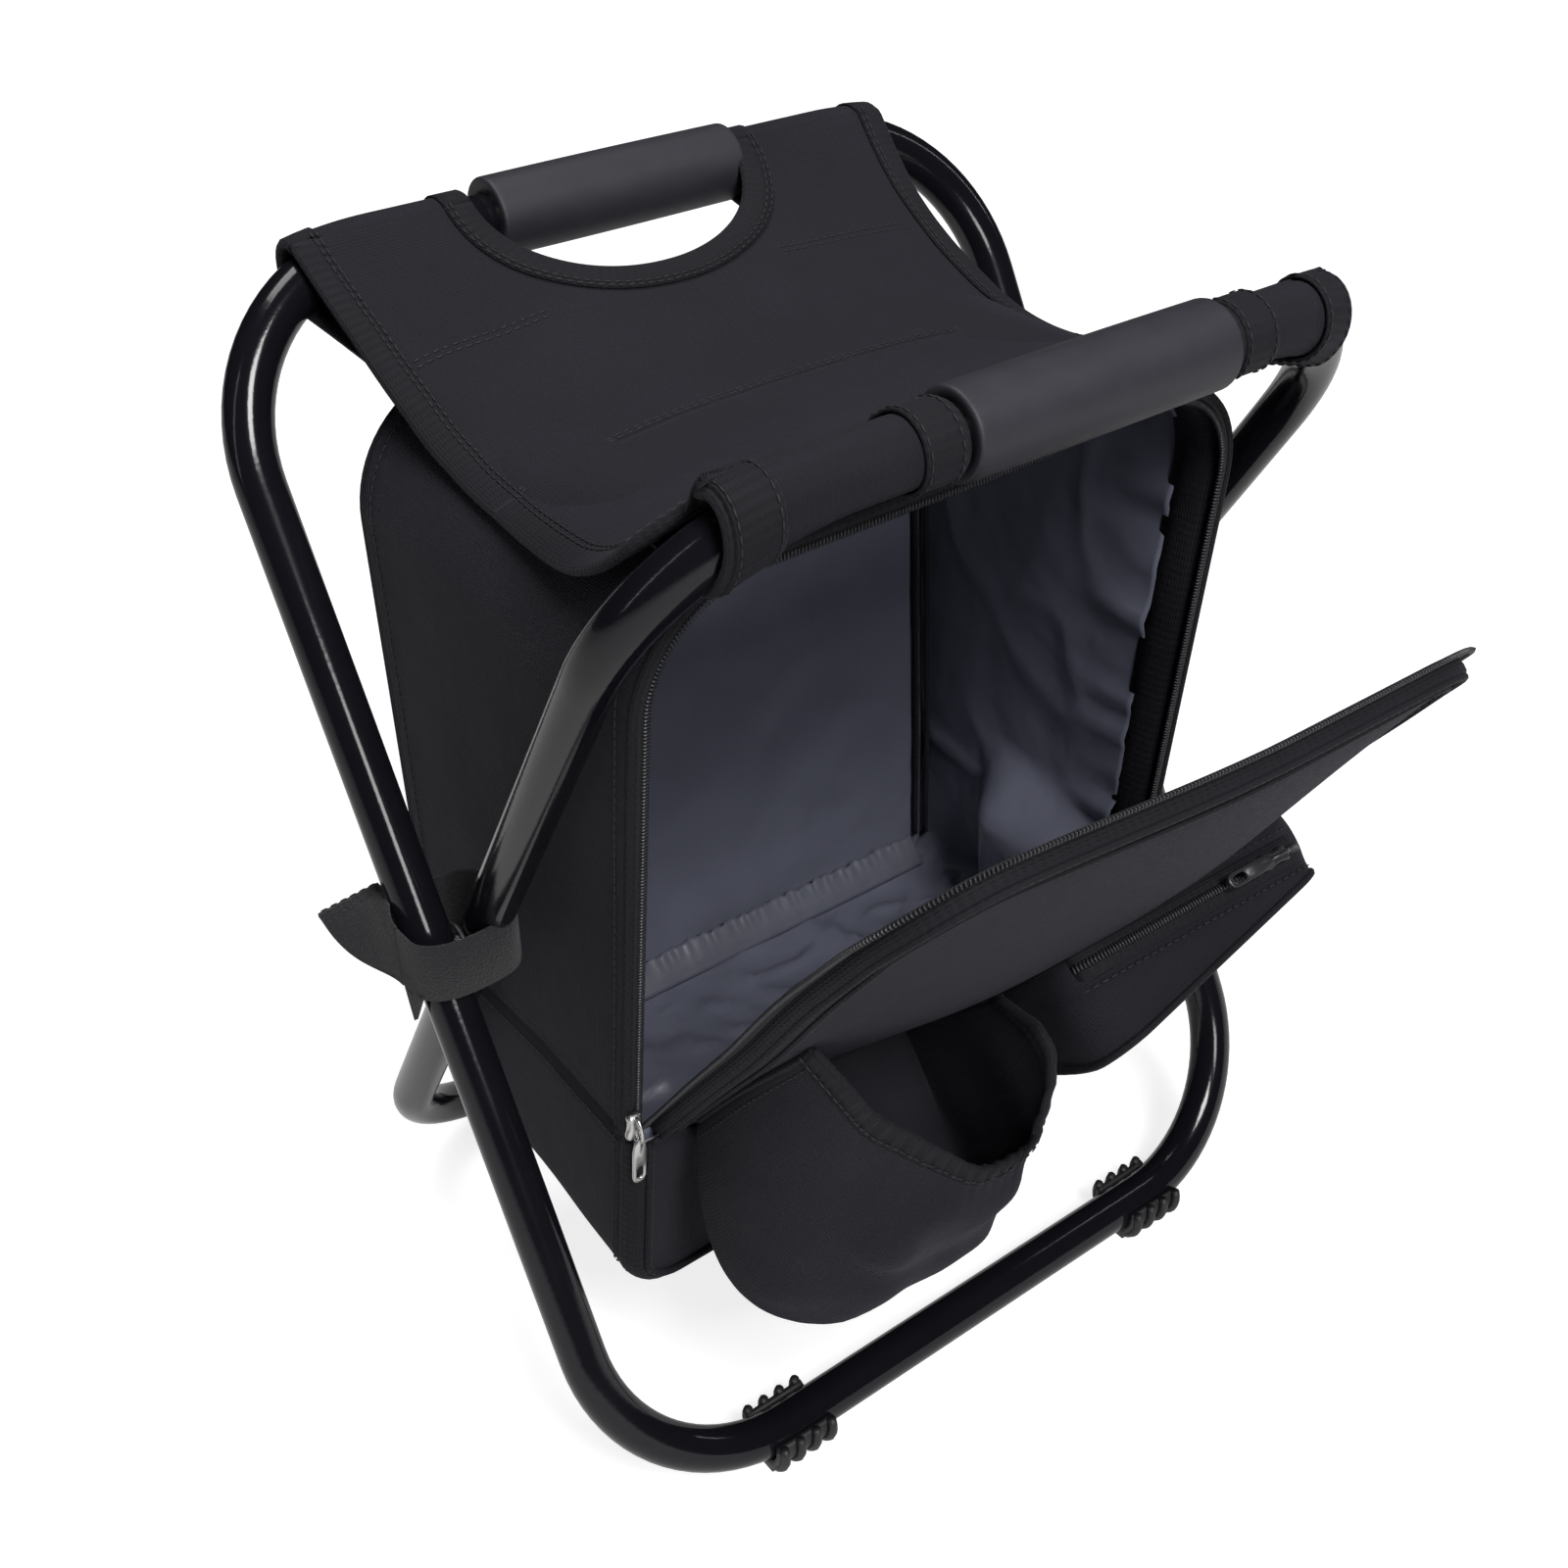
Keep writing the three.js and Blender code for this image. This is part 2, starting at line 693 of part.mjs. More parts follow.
function bottlePocket() {
  const height = bottleRim - bottleLow;
  const taper = (point) => {
    const up = (point.z - bottleLow) / height;
    const share = lerp(1, bottleRimDepth / bottleDepth, up);
    point.setY(-pocketFrom + (point.y + pocketFrom) * share);
  };
  const wallShape = new THREE.Shape([...pouchArc(0), ...pouchArc(pocketCloth).reverse()]);
  const wall = extruded(wallShape, height).translate(0, 0, bottleLow);
  const base = extruded(new THREE.Shape(pouchArc(0)), pocketCloth).translate(0, 0, bottleLow);
  const slope = (bottleRim - bottleRimFront) / bottleRimDepth;
  const reach = bottleDepth + fit;
  const rim = new THREE.Shape();
  rim.moveTo(-pocketFrom + fit, bottleRim + fit * slope);
  rim.lineTo(-pocketFrom - reach, bottleRim - reach * slope);
  rim.lineTo(-pocketFrom - reach, bottleRim + height);
  rim.lineTo(-pocketFrom + fit, bottleRim + height);
  rim.closePath();
  const width = bottleRight - bottleLeft + 2 * fit;
  const rimTool = extruded(rim, width).rotateX(PI / 2).rotateZ(PI / 2).translate(bottleLeft - fit, 0, 0);
  return cut(join(moved(wall, taper), moved(base, taper)), rimTool);
}

add(flap, 'bottle_pocket', bottlePocket(), blackCloth);

// Zip pocket: a flat pouch whose top side is a zip

const pouchFace = pocketFrom + pouchDepth;

function roundedOutline(left, low, right, high, radius) {
  const shape = new THREE.Shape();
  shape.absarc(right - radius, low + radius, radius, -PI / 2, 0, false);
  shape.absarc(right - radius, high - radius, radius, 0, PI / 2, false);
  shape.absarc(left + radius, high - radius, radius, PI / 2, PI, false);
  shape.absarc(left + radius, low + radius, radius, PI, 1.5 * PI, false);
  shape.closePath();
  return shape;
}

function pouchOutline(inset) {
  const box = [pouchLeft + inset, pouchLow + inset, pouchRight - inset, pouchHigh - inset];
  return roundedOutline(...box, pouchRadius - inset);
}

const mouthLeft = pouchLeft + pouchRadius;
const mouthRight = pouchRight - pouchRadius;
const mouthFrom = pocketFrom + pocketCloth;
const mouthTo = pouchFace - pocketCloth;

function zipPocket() {
  const body = plate(pouchOutline(0), pocketFrom, pouchFace);
  const hollow = plate(pouchOutline(pocketCloth), pocketFrom - pocketCloth, pouchFace - pocketCloth);
  const low = [mouthLeft, -mouthTo, pouchHigh - 2 * pocketCloth];
  const high = [mouthRight, -mouthFrom, pouchHigh + pocketCloth];
  return cut(body, hollow, block(low, high));
}

add(flap, 'zip_pocket', zipPocket(), blackCloth);
const stripLow = [mouthLeft + fit, fit - mouthTo, pouchHigh - pocketCloth];
const stripHigh = [mouthRight - fit, -mouthFrom - fit, pouchHigh];
add(flap, 'pocket_zip', block(stripLow, stripHigh), blackZip);

// Zip sliders, each with two ears and a pin that carries a pull tab. A slider is built flat:
// it runs along Z, its foot is at Y 0 and it stands out towards -Y.

const eyeRadius = pinDiameter / 2 + fit + pullEyeWall;
const pinHeight = sliderHeight + eyeRadius + fit;
const earFrom = sliderWidth / 2 - earThickness;
const neckHalf = earFrom - fit;
const neckLength = eyeRadius + earThickness + fit;

function slider() {
  const half = sliderWidth / 2;
  const body = plate(roundedOutline(-half, 0, half, sliderLength, half / 2), 0, sliderHeight);
  const earTop = pinHeight + pinDiameter;
  const ears = [-half, earFrom].map((x) => {
    const low = [x, -earTop, pinPlace - eyeRadius];
    return block(low, [x + earThickness, -sliderHeight / 2, pinPlace + eyeRadius]);
  });
  const reach = half - earThickness / 2;
  const pin = rod(pinDiameter / 2, -reach, reach, pinSides).translate(0, -pinHeight, pinPlace);
  return join(body, ...ears, pin);
}

// The tab is built about its pin, hanging down, with a slot at its free end
function pull() {
  const half = pullWidth / 2;
  const skin = pullThickness / 2;
  const eye = rod(eyeRadius, -neckHalf, neckHalf, pinSides);
  const neck = block([-neckHalf, -skin, -neckLength - skin], [neckHalf, skin, 0]);
  const tab = plate(roundedOutline(-half, -pullLength, half, -neckLength, half / 2), -skin, skin);
  const slotHalf = pullSlotWidth / 2;
  const slotLow = slotHalf - pullLength;
  const slot = roundedOutline(-slotHalf, slotLow, slotHalf, slotLow + pullSlotLength, pullSlotRadius);
  const bore = rod(pinDiameter / 2 + fit, -pullWidth, pullWidth, pinSides);
  return cut(join(eye, neck, tab), plate(slot, -pullThickness, pullThickness), bore);
}

function addSlider(group, word, place, turn) {
  const carrier = new THREE.Group();
  carrier.position.copy(place);
  carrier.rotation.copy(turn);
  group.add(carrier);
  add(carrier, `${word}_slider`, slider(), zincSteel);
  add(carrier, `${word}_pull`, pull().translate(0, -pinHeight, pinPlace), zincSteel);
}

const trackMiddle = bagHalf - zipTape + sliderWidth / 2 + fit;
const zipPlace = new THREE.Vector3(-trackMiddle, -2 * fit - zipThickness, sliderStart);
addSlider(front, 'zip', zipPlace, new THREE.Euler());
const stripMiddle = (mouthFrom + mouthTo) / 2;
const pocketPlace = new THREE.Vector3(mouthRight - fit - sliderLength, -stripMiddle, pouchHigh + fit);
addSlider(flap, 'pocket', pocketPlace, new THREE.Euler(-PI / 2, 0, -PI / 2, 'ZXY'));

// Side straps: a band round the crossing legs, sewn to the bag's side, with a loose end behind

function sideStrap(way) {
  const inX = bagHalf + fit;
  const outX = rivetTop + rivetHeadHeight + fit + strapThickness;
  const reach = (strapWidth / 2) * tan(innerLean) + tubeRadius / cos(innerLean) + legClearance;
  const half = reach + strapThickness;
  const middle = (way * (inX + outX)) / 2;
  const width = (outX - inX) / 2;
  const band = roundedOutline(middle - width, -half, middle + width, half, strapCorner);
  const space = width - strapThickness;
  const inside = [middle - space, -reach, middle + space, reach, strapCorner - strapThickness];
  band.holes.push(new THREE.Path(roundedOutline(...inside).getPoints(curveSegments)));
  const tailMiddle = way * (outX - strapThickness / 2);
  const tailLow = [tailMiddle - strapThickness / 2, half - strapCorner, 0];
  const tailHigh = [tailMiddle + strapThickness / 2, half + strapTail, strapWidth];
  const strap = join(extruded(band, strapWidth), block(tailLow, tailHigh));
  return strap.translate(0, 0, pivotHeight - strapWidth / 2);
}

add(stool, 'side_strap_left', sideStrap(-1), loopTape);
add(stool, 'side_strap_right', sideStrap(1), loopTape);

// The origin: on the floor, in the middle of the footprint
const box = new THREE.Box3().setFromObject(stool, true);
stool.position.y = -(box.min.y + box.max.y) / 2;

export default stool;
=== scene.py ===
# Folding cooler stool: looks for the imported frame. Metres, +Z up, the flap is at the front (-Y).
import json
import math

import bmesh
import bpy
import numpy as np
from mathutils import Matrix, Vector, noise


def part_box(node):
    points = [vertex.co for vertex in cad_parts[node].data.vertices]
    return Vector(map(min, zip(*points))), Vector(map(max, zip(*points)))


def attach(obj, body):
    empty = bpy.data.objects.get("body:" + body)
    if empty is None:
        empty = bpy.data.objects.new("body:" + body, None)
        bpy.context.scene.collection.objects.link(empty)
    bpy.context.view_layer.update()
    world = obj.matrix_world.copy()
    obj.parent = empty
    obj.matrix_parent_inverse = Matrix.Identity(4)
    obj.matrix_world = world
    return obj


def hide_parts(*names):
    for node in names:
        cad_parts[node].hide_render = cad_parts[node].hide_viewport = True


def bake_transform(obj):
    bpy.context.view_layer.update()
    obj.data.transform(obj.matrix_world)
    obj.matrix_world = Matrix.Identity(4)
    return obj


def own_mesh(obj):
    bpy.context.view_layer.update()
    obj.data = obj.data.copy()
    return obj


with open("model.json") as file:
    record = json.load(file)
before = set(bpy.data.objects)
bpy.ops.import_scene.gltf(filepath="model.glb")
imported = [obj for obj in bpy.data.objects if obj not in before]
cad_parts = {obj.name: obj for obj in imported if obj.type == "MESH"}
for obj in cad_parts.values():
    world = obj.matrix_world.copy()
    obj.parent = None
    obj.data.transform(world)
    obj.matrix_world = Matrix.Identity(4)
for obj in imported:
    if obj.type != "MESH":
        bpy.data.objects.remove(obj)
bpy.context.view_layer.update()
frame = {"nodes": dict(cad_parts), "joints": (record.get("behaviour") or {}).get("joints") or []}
joints = {joint["name"]: joint for joint in frame["joints"]}
pivot = np.array(joints["outer_fold"]["pos_m"])
hinge = np.array(joints["flap_open"]["pos_m"])
print("frame loaded:", len(frame["nodes"]), "nodes")


# Nodes, for materials and for geometry

def addNode(tree, kind, inputs=None, **settings):
    node = tree.nodes.new(kind)
    for key, value in settings.items():
        setattr(node, key, value)
    for key, value in (inputs or {}).items():
        if isinstance(value, bpy.types.NodeSocket):
            tree.links.new(value, node.inputs[key])
        else:
            node.inputs[key].default_value = value
    return node


def maths(tree, operation, *values):
    return addNode(tree, "ShaderNodeMath", dict(enumerate(values)), operation=operation).outputs[0]


def newLook(name, sockets):
    look = bpy.data.materials.new(name)
    look.use_nodes = True
    shader = look.node_tree.nodes["Principled BSDF"]
    for key, value in sockets.items():
        shader.inputs[key].default_value = value
    return look, look.node_tree, shader


def shades(color, low, high):
    return [(*(part * share for part in color), 1) for share in (low, high)]


def mixed(tree, factor, first, second):
    mix = addNode(tree, "ShaderNodeMix", data_type="RGBA")
    tree.links.new(factor, mix.inputs[0])
    mix.inputs[6].default_value = first
    mix.inputs[7].default_value = second
    return mix.outputs[2]


def spread(tree, factor, low, high):
    return addNode(tree, "ShaderNodeMapRange", {"Value": factor, "To Min": low, "To Max": high}).outputs[0]


def noiseIn(tree, place, scale, detail=3.0, stretch=(1, 1, 1)):
    mapping = addNode(tree, "ShaderNodeMapping", {"Vector": place, "Scale": stretch})
    settings = {"Vector": mapping.outputs[0], "Scale": scale, "Detail": detail}
    return addNode(tree, "ShaderNodeTexNoise", settings).outputs["Fac"]


def bumped(tree, shader, height, strength, distance):
    values = {"Height": height, "Strength": strength, "Distance": distance}
    bump = addNode(tree, "ShaderNodeBump", values)
    tree.links.new(bump.outputs[0], shader.inputs["Normal"])


# A finish with an even grain: paint, plated steel, rubber, foam, nylon
def grainLook(name, color, rough, scale, relief, vary=0.25, **sockets):
    look, tree, shader = newLook(name, {key.replace("_", " "): value for key, value in sockets.items()})
    place = addNode(tree, "ShaderNodeTexCoord").outputs["Object"]
    broad = noiseIn(tree, place, scale * 0.06)
    fine = noiseIn(tree, place, scale)
    tree.links.new(mixed(tree, broad, *shades(color, 1 - vary, 1 + vary)), shader.inputs["Base Color"])
    tree.links.new(spread(tree, broad, *rough), shader.inputs["Roughness"])
    bumped(tree, shader, fine, 1.0, relief)
    return look


# Woven cloth: crossing threads on the UV map, which is in metres
def wovenLook(name, color, pitch, relief, ribs=(1, 1), vary=0.3, **sockets):
    look, tree, shader = newLook(name, {key.replace("_", " "): value for key, value in sockets.items()})
    coords = addNode(tree, "ShaderNodeTexCoord")
    place, solid = coords.outputs["UV"], coords.outputs["Object"]
    waves = []
    for direction, share in zip("XY", ribs):
        settings = {"Vector": place, "Scale": share * math.pi / (10 * pitch), "Distortion": 0.4}
        settings.update({"Detail": 1.0, "Detail Scale": 0.3})
        waves.append(addNode(tree, "ShaderNodeTexWave", settings, bands_direction=direction).outputs["Fac"])
    product = maths(tree, "MULTIPLY", *waves)
    warp = noiseIn(tree, place, 0.5 / pitch, 2.0, (1, 0.06, 1))
    weft = noiseIn(tree, place, 0.5 / pitch, 2.0, (0.06, 1, 1))
    slubs = maths(tree, "ADD", warp, weft)
    wear = noiseIn(tree, solid, 22.0, 4.0)
    half = maths(tree, "MULTIPLY", slubs, 0.5)
    tone = maths(tree, "MULTIPLY", half, wear)
    darkLight = shades(color, 1 - 1.6 * vary, 1 + 2.6 * vary)
    tree.links.new(mixed(tree, tone, *darkLight), shader.inputs["Base Color"])
    tree.links.new(spread(tree, half, 0.7, 0.95), shader.inputs["Roughness"])
    height = maths(tree, "ADD", product, half)
    uneven = noiseIn(tree, solid, 75.0, 3.0)
    height = maths(tree, "MULTIPLY_ADD", uneven, 2.4, height)
    bumped(tree, shader, height, 0.8, relief)
    return look


def liningLook(name, color):
    look, tree, shader = newLook(name, {"Specular IOR Level": 0.5})
    place = addNode(tree, "ShaderNodeTexCoord").outputs["Object"]
    broad = noiseIn(tree, place, 14.0, 3.0)
    creases = noiseIn(tree, place, 60.0, 2.0)
    fine = noiseIn(tree, place, 900.0, 2.0)
    tree.links.new(mixed(tree, broad, *shades(color, 0.82, 1.2)), shader.inputs["Base Color"])
    tree.links.new(spread(tree, creases, 0.26, 0.46), shader.inputs["Roughness"])
    both = maths(tree, "MULTIPLY_ADD", fine, 0.06, creases)
    bumped(tree, shader, both, 0.5, 0.0018)
    return look


# Fuzzy loop tape: speckled, with short loops standing up
def loopLook(color):
    look, tree, shader = newLook("loopTape", {"Sheen Weight": 0.1, "Sheen Roughness": 0.6})
    place = addNode(tree, "ShaderNodeTexCoord").outputs["Object"]
    speck = addNode(tree, "ShaderNodeTexVoronoi", {"Vector": place, "Scale": 1300.0}).outputs["Distance"]
    fuzz = noiseIn(tree, place, 700.0, 4.0)
    mix = maths(tree, "MULTIPLY", speck, fuzz)
    tree.links.new(mixed(tree, mix, *shades(color, 0.5, 2.6)), shader.inputs["Base Color"])
    shader.inputs["Roughness"].default_value = 0.95
    bumped(tree, shader, mix, 1.0, 0.0008)
    return look


grains = {
    "framePaint": dict(color=(0.0062, 0.006, 0.0086), rough=(0.1, 0.18), scale=480, relief=0.00003, vary=0.2,
                       IOR=1.4),
    "platedSteel": dict(color=(0.62, 0.615, 0.6), rough=(0.2, 0.4), scale=900, relief=0.00003, vary=0.12,
                        Metallic=1.0),
    "footRubber": dict(color=(0.013, 0.013, 0.015), rough=(0.42, 0.62), scale=1400, relief=0.00012),
    "gripFoam": dict(color=(0.021, 0.0205, 0.028), rough=(0.5, 0.62), scale=1900, relief=0.00008, vary=0.15),
    "whiteFoam": dict(color=(0.78, 0.79, 0.8), rough=(0.8, 0.95), scale=700, relief=0.0004, vary=0.06),
    "nylonCoil": dict(color=(0.026, 0.026, 0.03), rough=(0.26, 0.42), scale=800, relief=0.00005),
    "blackThread": dict(color=(0.012, 0.012, 0.015), rough=(0.55, 0.75), scale=2500, relief=0.0001),
}
weaves = {
    "blackCloth": dict(color=(0.0112, 0.0106, 0.0158), pitch=0.0009, relief=0.00028, Specular_IOR_Level=0.28,
                       Sheen_Weight=0.035, Sheen_Roughness=0.45, Sheen_Tint=(0.72, 0.7, 1, 1)),
    "bindingTape": dict(color=(0.0084, 0.008, 0.0116), pitch=0.0011, relief=0.0003, ribs=(1, 0.35),
                        Specular_IOR_Level=0.3, Sheen_Weight=0.025, Sheen_Roughness=0.4,
                        Sheen_Tint=(0.72, 0.7, 1, 1)),
    "zipTape": dict(color=(0.0095, 0.0092, 0.0118), pitch=0.0008, relief=0.00022, ribs=(0.6, 1)),
}
linings = {"greyLining": (0.13, 0.136, 0.18), "liningTape": (0.095, 0.099, 0.126)}
looks = {name: grainLook(name, **spec) for name, spec in grains.items()}
looks.update({name: wovenLook(name, **spec) for name, spec in weaves.items()})
looks.update({name: liningLook(name, color) for name, color in linings.items()})
looks["loopTape"] = loopLook((0.0078, 0.0076, 0.0098))
print("looks made:", len(looks))


# Meshes

def gridPart(points, wrapRows=False, wrapCols=False, flip=False, uv=None):
    rows, cols = points.shape[:2]
    r = np.arange(rows if wrapRows else rows - 1)[:, None]
    c = np.arange(cols if wrapCols else cols - 1)[None, :]
    corners = [(r, c), (r, c + 1), (r + 1, c + 1), (r + 1, c)]
    if flip:
        corners = corners[::-1]
    faces = np.stack([(a % rows) * cols + b % cols for a, b in corners], -1).reshape(-1, 4)
    if uv is None:
        closed = np.concatenate([points, points[:1]], 0)
        closed = np.concatenate([closed, closed[:, :1]], 1)
        along = np.linalg.norm(np.diff(closed, axis=0), axis=2).mean(1)
        across = np.linalg.norm(np.diff(closed, axis=1), axis=2).mean(0)
        along, across = (np.concatenate([[0], np.cumsum(lengths)]) for lengths in (along, across))
        spots = [np.stack(np.broadcast_arrays(across[b], along[a]), -1) for a, b in corners]
    else:
        spots = [uv[a % rows, b % cols] for a, b in corners]
    return points.reshape(-1, 3), faces, np.stack(spots, -2).reshape(-1, 4, 2)


def addObject(name, data):
    made = bpy.data.objects.new(name, data)
    bpy.context.scene.collection.objects.link(made)
    return made


def addPiece(name, look, *parts, merge=0.0, outward=False):
    places, quads, spots, count = [], [], [], 0
    for points, faces, uv in parts:
        places.append(points)
        quads.append(faces + count)
        spots.append(uv)
        count += len(points)
    mesh = bpy.data.meshes.new(name)
    mesh.from_pydata(np.concatenate(places).tolist(), [], np.concatenate(quads).tolist())
    layer = mesh.uv_layers.new(name="cloth")
    layer.data.foreach_set("uv", np.concatenate(spots).astype(np.float32).ravel())
    if merge or outward:
        work = bmesh.new()
        work.from_mesh(mesh)
        if merge:
            bmesh.ops.remove_doubles(work, verts=work.verts, dist=merge)
        if outward:
            bmesh.ops.recalc_face_normals(work, faces=work.faces)
        work.to_mesh(mesh)
        work.free()
    mesh.polygons.foreach_set("use_smooth", [True] * len(mesh.polygons))
    mesh.materials.append(looks[look])
    mesh.update()
    return addObject(name, mesh)


def thicken(piece, thickness, offset=0.0):
    wall = piece.modifiers.new("wall", "SOLIDIFY")
    wall.thickness = thickness
    wall.offset = offset
    return piece


def fullTurn(steps):
    return np.linspace(0, 2 * math.pi, steps, endpoint=False)


# Parts side by side in the last axis, such as x, y and z
def stacked(*parts):
    return np.stack(np.broadcast_arrays(*parts), -1)


def unit(vectors):
    return vectors / np.maximum(np.linalg.norm(vectors, axis=-1, keepdims=True), 1e-12)


def roughness(points, scale, seed=0.0, stretch=(1, 1, 1)):
    shift = Vector((seed, 1.7 * seed, 2.3 * seed))
    flat = points.reshape(-1, 3) * np.array(stretch) * scale
    return np.array([noise.noise(Vector(p) + shift) for p in flat]).reshape(points.shape[:-1])


def smooth(value, low, high):
    share = np.clip((value - low) / (high - low), 0, 1)
    return share * share * (3 - 2 * share)


def bell(value, middle, width):
    return np.exp(-(((value - middle) / width) ** 2))


# A closed section carried along a path. Section rows are (along up, along side).
def sweep(path, section, up, closed=False):
    ahead = np.roll(path, -1, 0) - np.roll(path, 1, 0)
    if not closed:
        ahead[0], ahead[-1] = path[1] - path[0], path[-1] - path[-2]
    ahead = unit(ahead)
    up = np.broadcast_to(np.array(up, float), path.shape)
    side = unit(np.cross(ahead, up))
    up = unit(np.cross(side, ahead))
    section = np.array(section)
    points = path[:, None] + up[:, None] * section[None, :, :1] + side[:, None] * section[None, :, 1:]
    if not closed:
        ends = [np.broadcast_to(points[k].mean(0), points[k].shape) for k in (0, -1)]
        points = np.concatenate([ends[0][None], points, ends[1][None]])
    return gridPart(points, wrapRows=closed, wrapCols=True)


def circle(radius, sides):
    turn = fullTurn(sides)
    return stacked(radius * np.cos(turn), radius * np.sin(turn))


# The points between two places, without the ends
def between(first, last, step):
    share = np.linspace(0, 1, max(2, int(np.linalg.norm(last - first) / step)))[1:-1, None]
    return first * (1 - share) + last * share


# Points and outward ways round a rectangle with round corners, which are (x, z, radius, start of the turn in
# half turns, steps). It can be given points and ways to start from.
def roundedBox(corners, step, points=(), ways=()):
    points, ways = list(points), list(ways)
    for x, z, r, start, steps in corners:
        turn = np.linspace(start, start + 0.5, steps) * math.pi
        way = stacked(np.cos(turn), np.sin(turn))
        arc = np.array([x, z]) - r * np.sign(way[0] + way[-1]) + r * way
        if points:
            points.append(between(points[-1][-1], arc[0], step))
            ways.append(np.broadcast_to(way[0], points[-1].shape))
        points.append(arc)
        ways.append(way)
    points.append(between(points[-1][-1], points[0][0], step))
    ways.append(np.broadcast_to(ways[0][0], points[-1].shape))
    return np.concatenate(points), np.concatenate(ways)


# A profile of (place along X, radius), turned about an X axis through centre
def turned(profile, centre, sides=40):
    profile = np.array(profile)
    turn = fullTurn(sides)
    ring = stacked(np.zeros(sides), np.cos(turn), np.sin(turn))
    points = profile[:, None, 1:] * ring[None] + np.array([1, 0, 0]) * profile[:, None, :1]
    return gridPart(points + np.array(centre), wrapCols=True)


def polyline(name, points, closed=False, across=None):
    mesh = bpy.data.meshes.new(name)
    count = len(points)
    edges = [(i, (i + 1) % count) for i in range(count if closed else count - 1)]
    mesh.from_pydata(np.asarray(points).tolist(), edges, [])
    if across is not None:
        layer = mesh.attributes.new("across", "FLOAT_VECTOR", "POINT")
        layer.data.foreach_set("vector", np.asarray(across, np.float32).ravel())
    return addObject(name, mesh)


# Geometry node trees

def newTree(name, inputs):
    tree = bpy.data.node_groups.new(name, "GeometryNodeTree")
    tree.interface.new_socket("Geometry", in_out="INPUT", socket_type="NodeSocketGeometry")
    for label, kind in inputs.items():
        tree.interface.new_socket(label, in_out="INPUT", socket_type="NodeSocket" + kind)
    tree.interface.new_socket("Geometry", in_out="OUTPUT", socket_type="NodeSocketGeometry")
    return tree, tree.nodes.new("NodeGroupInput").outputs


def closeTree(tree, geometry, given):
    smoothed = addNode(tree, "GeometryNodeSetShadeSmooth", {"Geometry": geometry}).outputs[0]
    dressed = addNode(tree, "GeometryNodeSetMaterial", {"Geometry": smoothed, "Material": given["Look"]})
    tree.links.new(dressed.outputs[0], tree.nodes.new("NodeGroupOutput").inputs[0])
    return tree


# A bent tube: the corners of a loop are rounded and a round section runs along it
def tubeTree():
    inputs = {"Bend": "Float", "Radius": "Float", "Sides": "Int", "Steps": "Int", "Look": "Material"}
    tree, given = newTree("bentTube", inputs)
    curve = addNode(tree, "GeometryNodeMeshToCurve", {"Mesh": given["Geometry"]}).outputs[0]
    bends = {"Curve": curve, "Count": given["Steps"], "Radius": given["Bend"]}
    route = addNode(tree, "GeometryNodeFilletCurve", bends, mode="POLY").outputs[0]
    ring = {"Resolution": given["Sides"], "Radius": given["Radius"]}
    section = addNode(tree, "GeometryNodeCurvePrimitiveCircle", ring).outputs[0]
    tube = addNode(tree, "GeometryNodeCurveToMesh", {"Curve": route, "Profile Curve": section}).outputs[0]
    return closeTree(tree, tube, given)


# Small rounded studs along a line: stitches lie along it, zip teeth across it
def studTree():
    inputs = {"Pitch": "Float", "Size": "Vector", "Segments": "Int", "Rings": "Int", "Look": "Material"}
    tree, given = newTree("studsAlongLine", inputs)
    curve = addNode(tree, "GeometryNodeMeshToCurve", {"Mesh": given["Geometry"]}).outputs[0]
    spacing = {"Curve": curve, "Length": given["Pitch"]}
    marks = addNode(tree, "GeometryNodeResampleCurve", spacing, mode="LENGTH").outputs[0]
    ball = {"Segments": given["Segments"], "Rings": given["Rings"], "Radius": 0.5}
    stud = addNode(tree, "GeometryNodeMeshUVSphere", ball).outputs[0]
    tangent = tree.nodes.new("GeometryNodeInputTangent").outputs[0]
    along = addNode(tree, "FunctionNodeAlignRotationToVector", {"Vector": tangent}, axis="Z").outputs[0]
    named = addNode(tree, "GeometryNodeInputNamedAttribute", {"Name": "across"}, data_type="FLOAT_VECTOR")
    turn = {"Rotation": along, "Vector": named.outputs[0]}
    facing = addNode(tree, "FunctionNodeAlignRotationToVector", turn, axis="X", pivot_axis="Z").outputs[0]
    place = {"Points": marks, "Instance": stud, "Rotation": facing, "Scale": given["Size"]}
    studs = addNode(tree, "GeometryNodeInstanceOnPoints", place).outputs[0]
    real = addNode(tree, "GeometryNodeRealizeInstances", {"Geometry": studs}).outputs[0]
    return closeTree(tree, real, given)


trees = {"tube": tubeTree(), "studs": studTree()}


# Runs a tree on a line and keeps the result as a plain mesh
def runTree(name, source, tree, values, look):
    modifier = source.modifiers.new("nodes", "NODES")
    modifier.node_group = tree
    for item in tree.interface.items_tree:
        if item.in_out == "INPUT" and item.name in values:
            modifier[item.identifier] = values[item.name]
        if item.in_out == "INPUT" and item.name == "Look":
            modifier[item.identifier] = looks[look]
    depsgraph = bpy.context.evaluated_depsgraph_get()
    made = bpy.data.meshes.new_from_object(source.evaluated_get(depsgraph))
    bpy.data.objects.remove(source)
    made.name = name
    made.materials.clear()
    made.materials.append(looks[look])
    made.polygons.foreach_set("material_index", [0] * len(made.polygons))
    return addObject(name, made)


def joined(name, pieces, look):
    work = bmesh.new()
    for piece in pieces:
        work.from_mesh(piece.data)
    mesh = bpy.data.meshes.new(name)
    work.to_mesh(mesh)
    work.free()
    mesh.polygons.foreach_set("material_index", [0] * len(mesh.polygons))
    mesh.materials.append(looks[look])
    for piece in pieces:
        bpy.data.objects.remove(piece)
    return addObject(name, mesh)


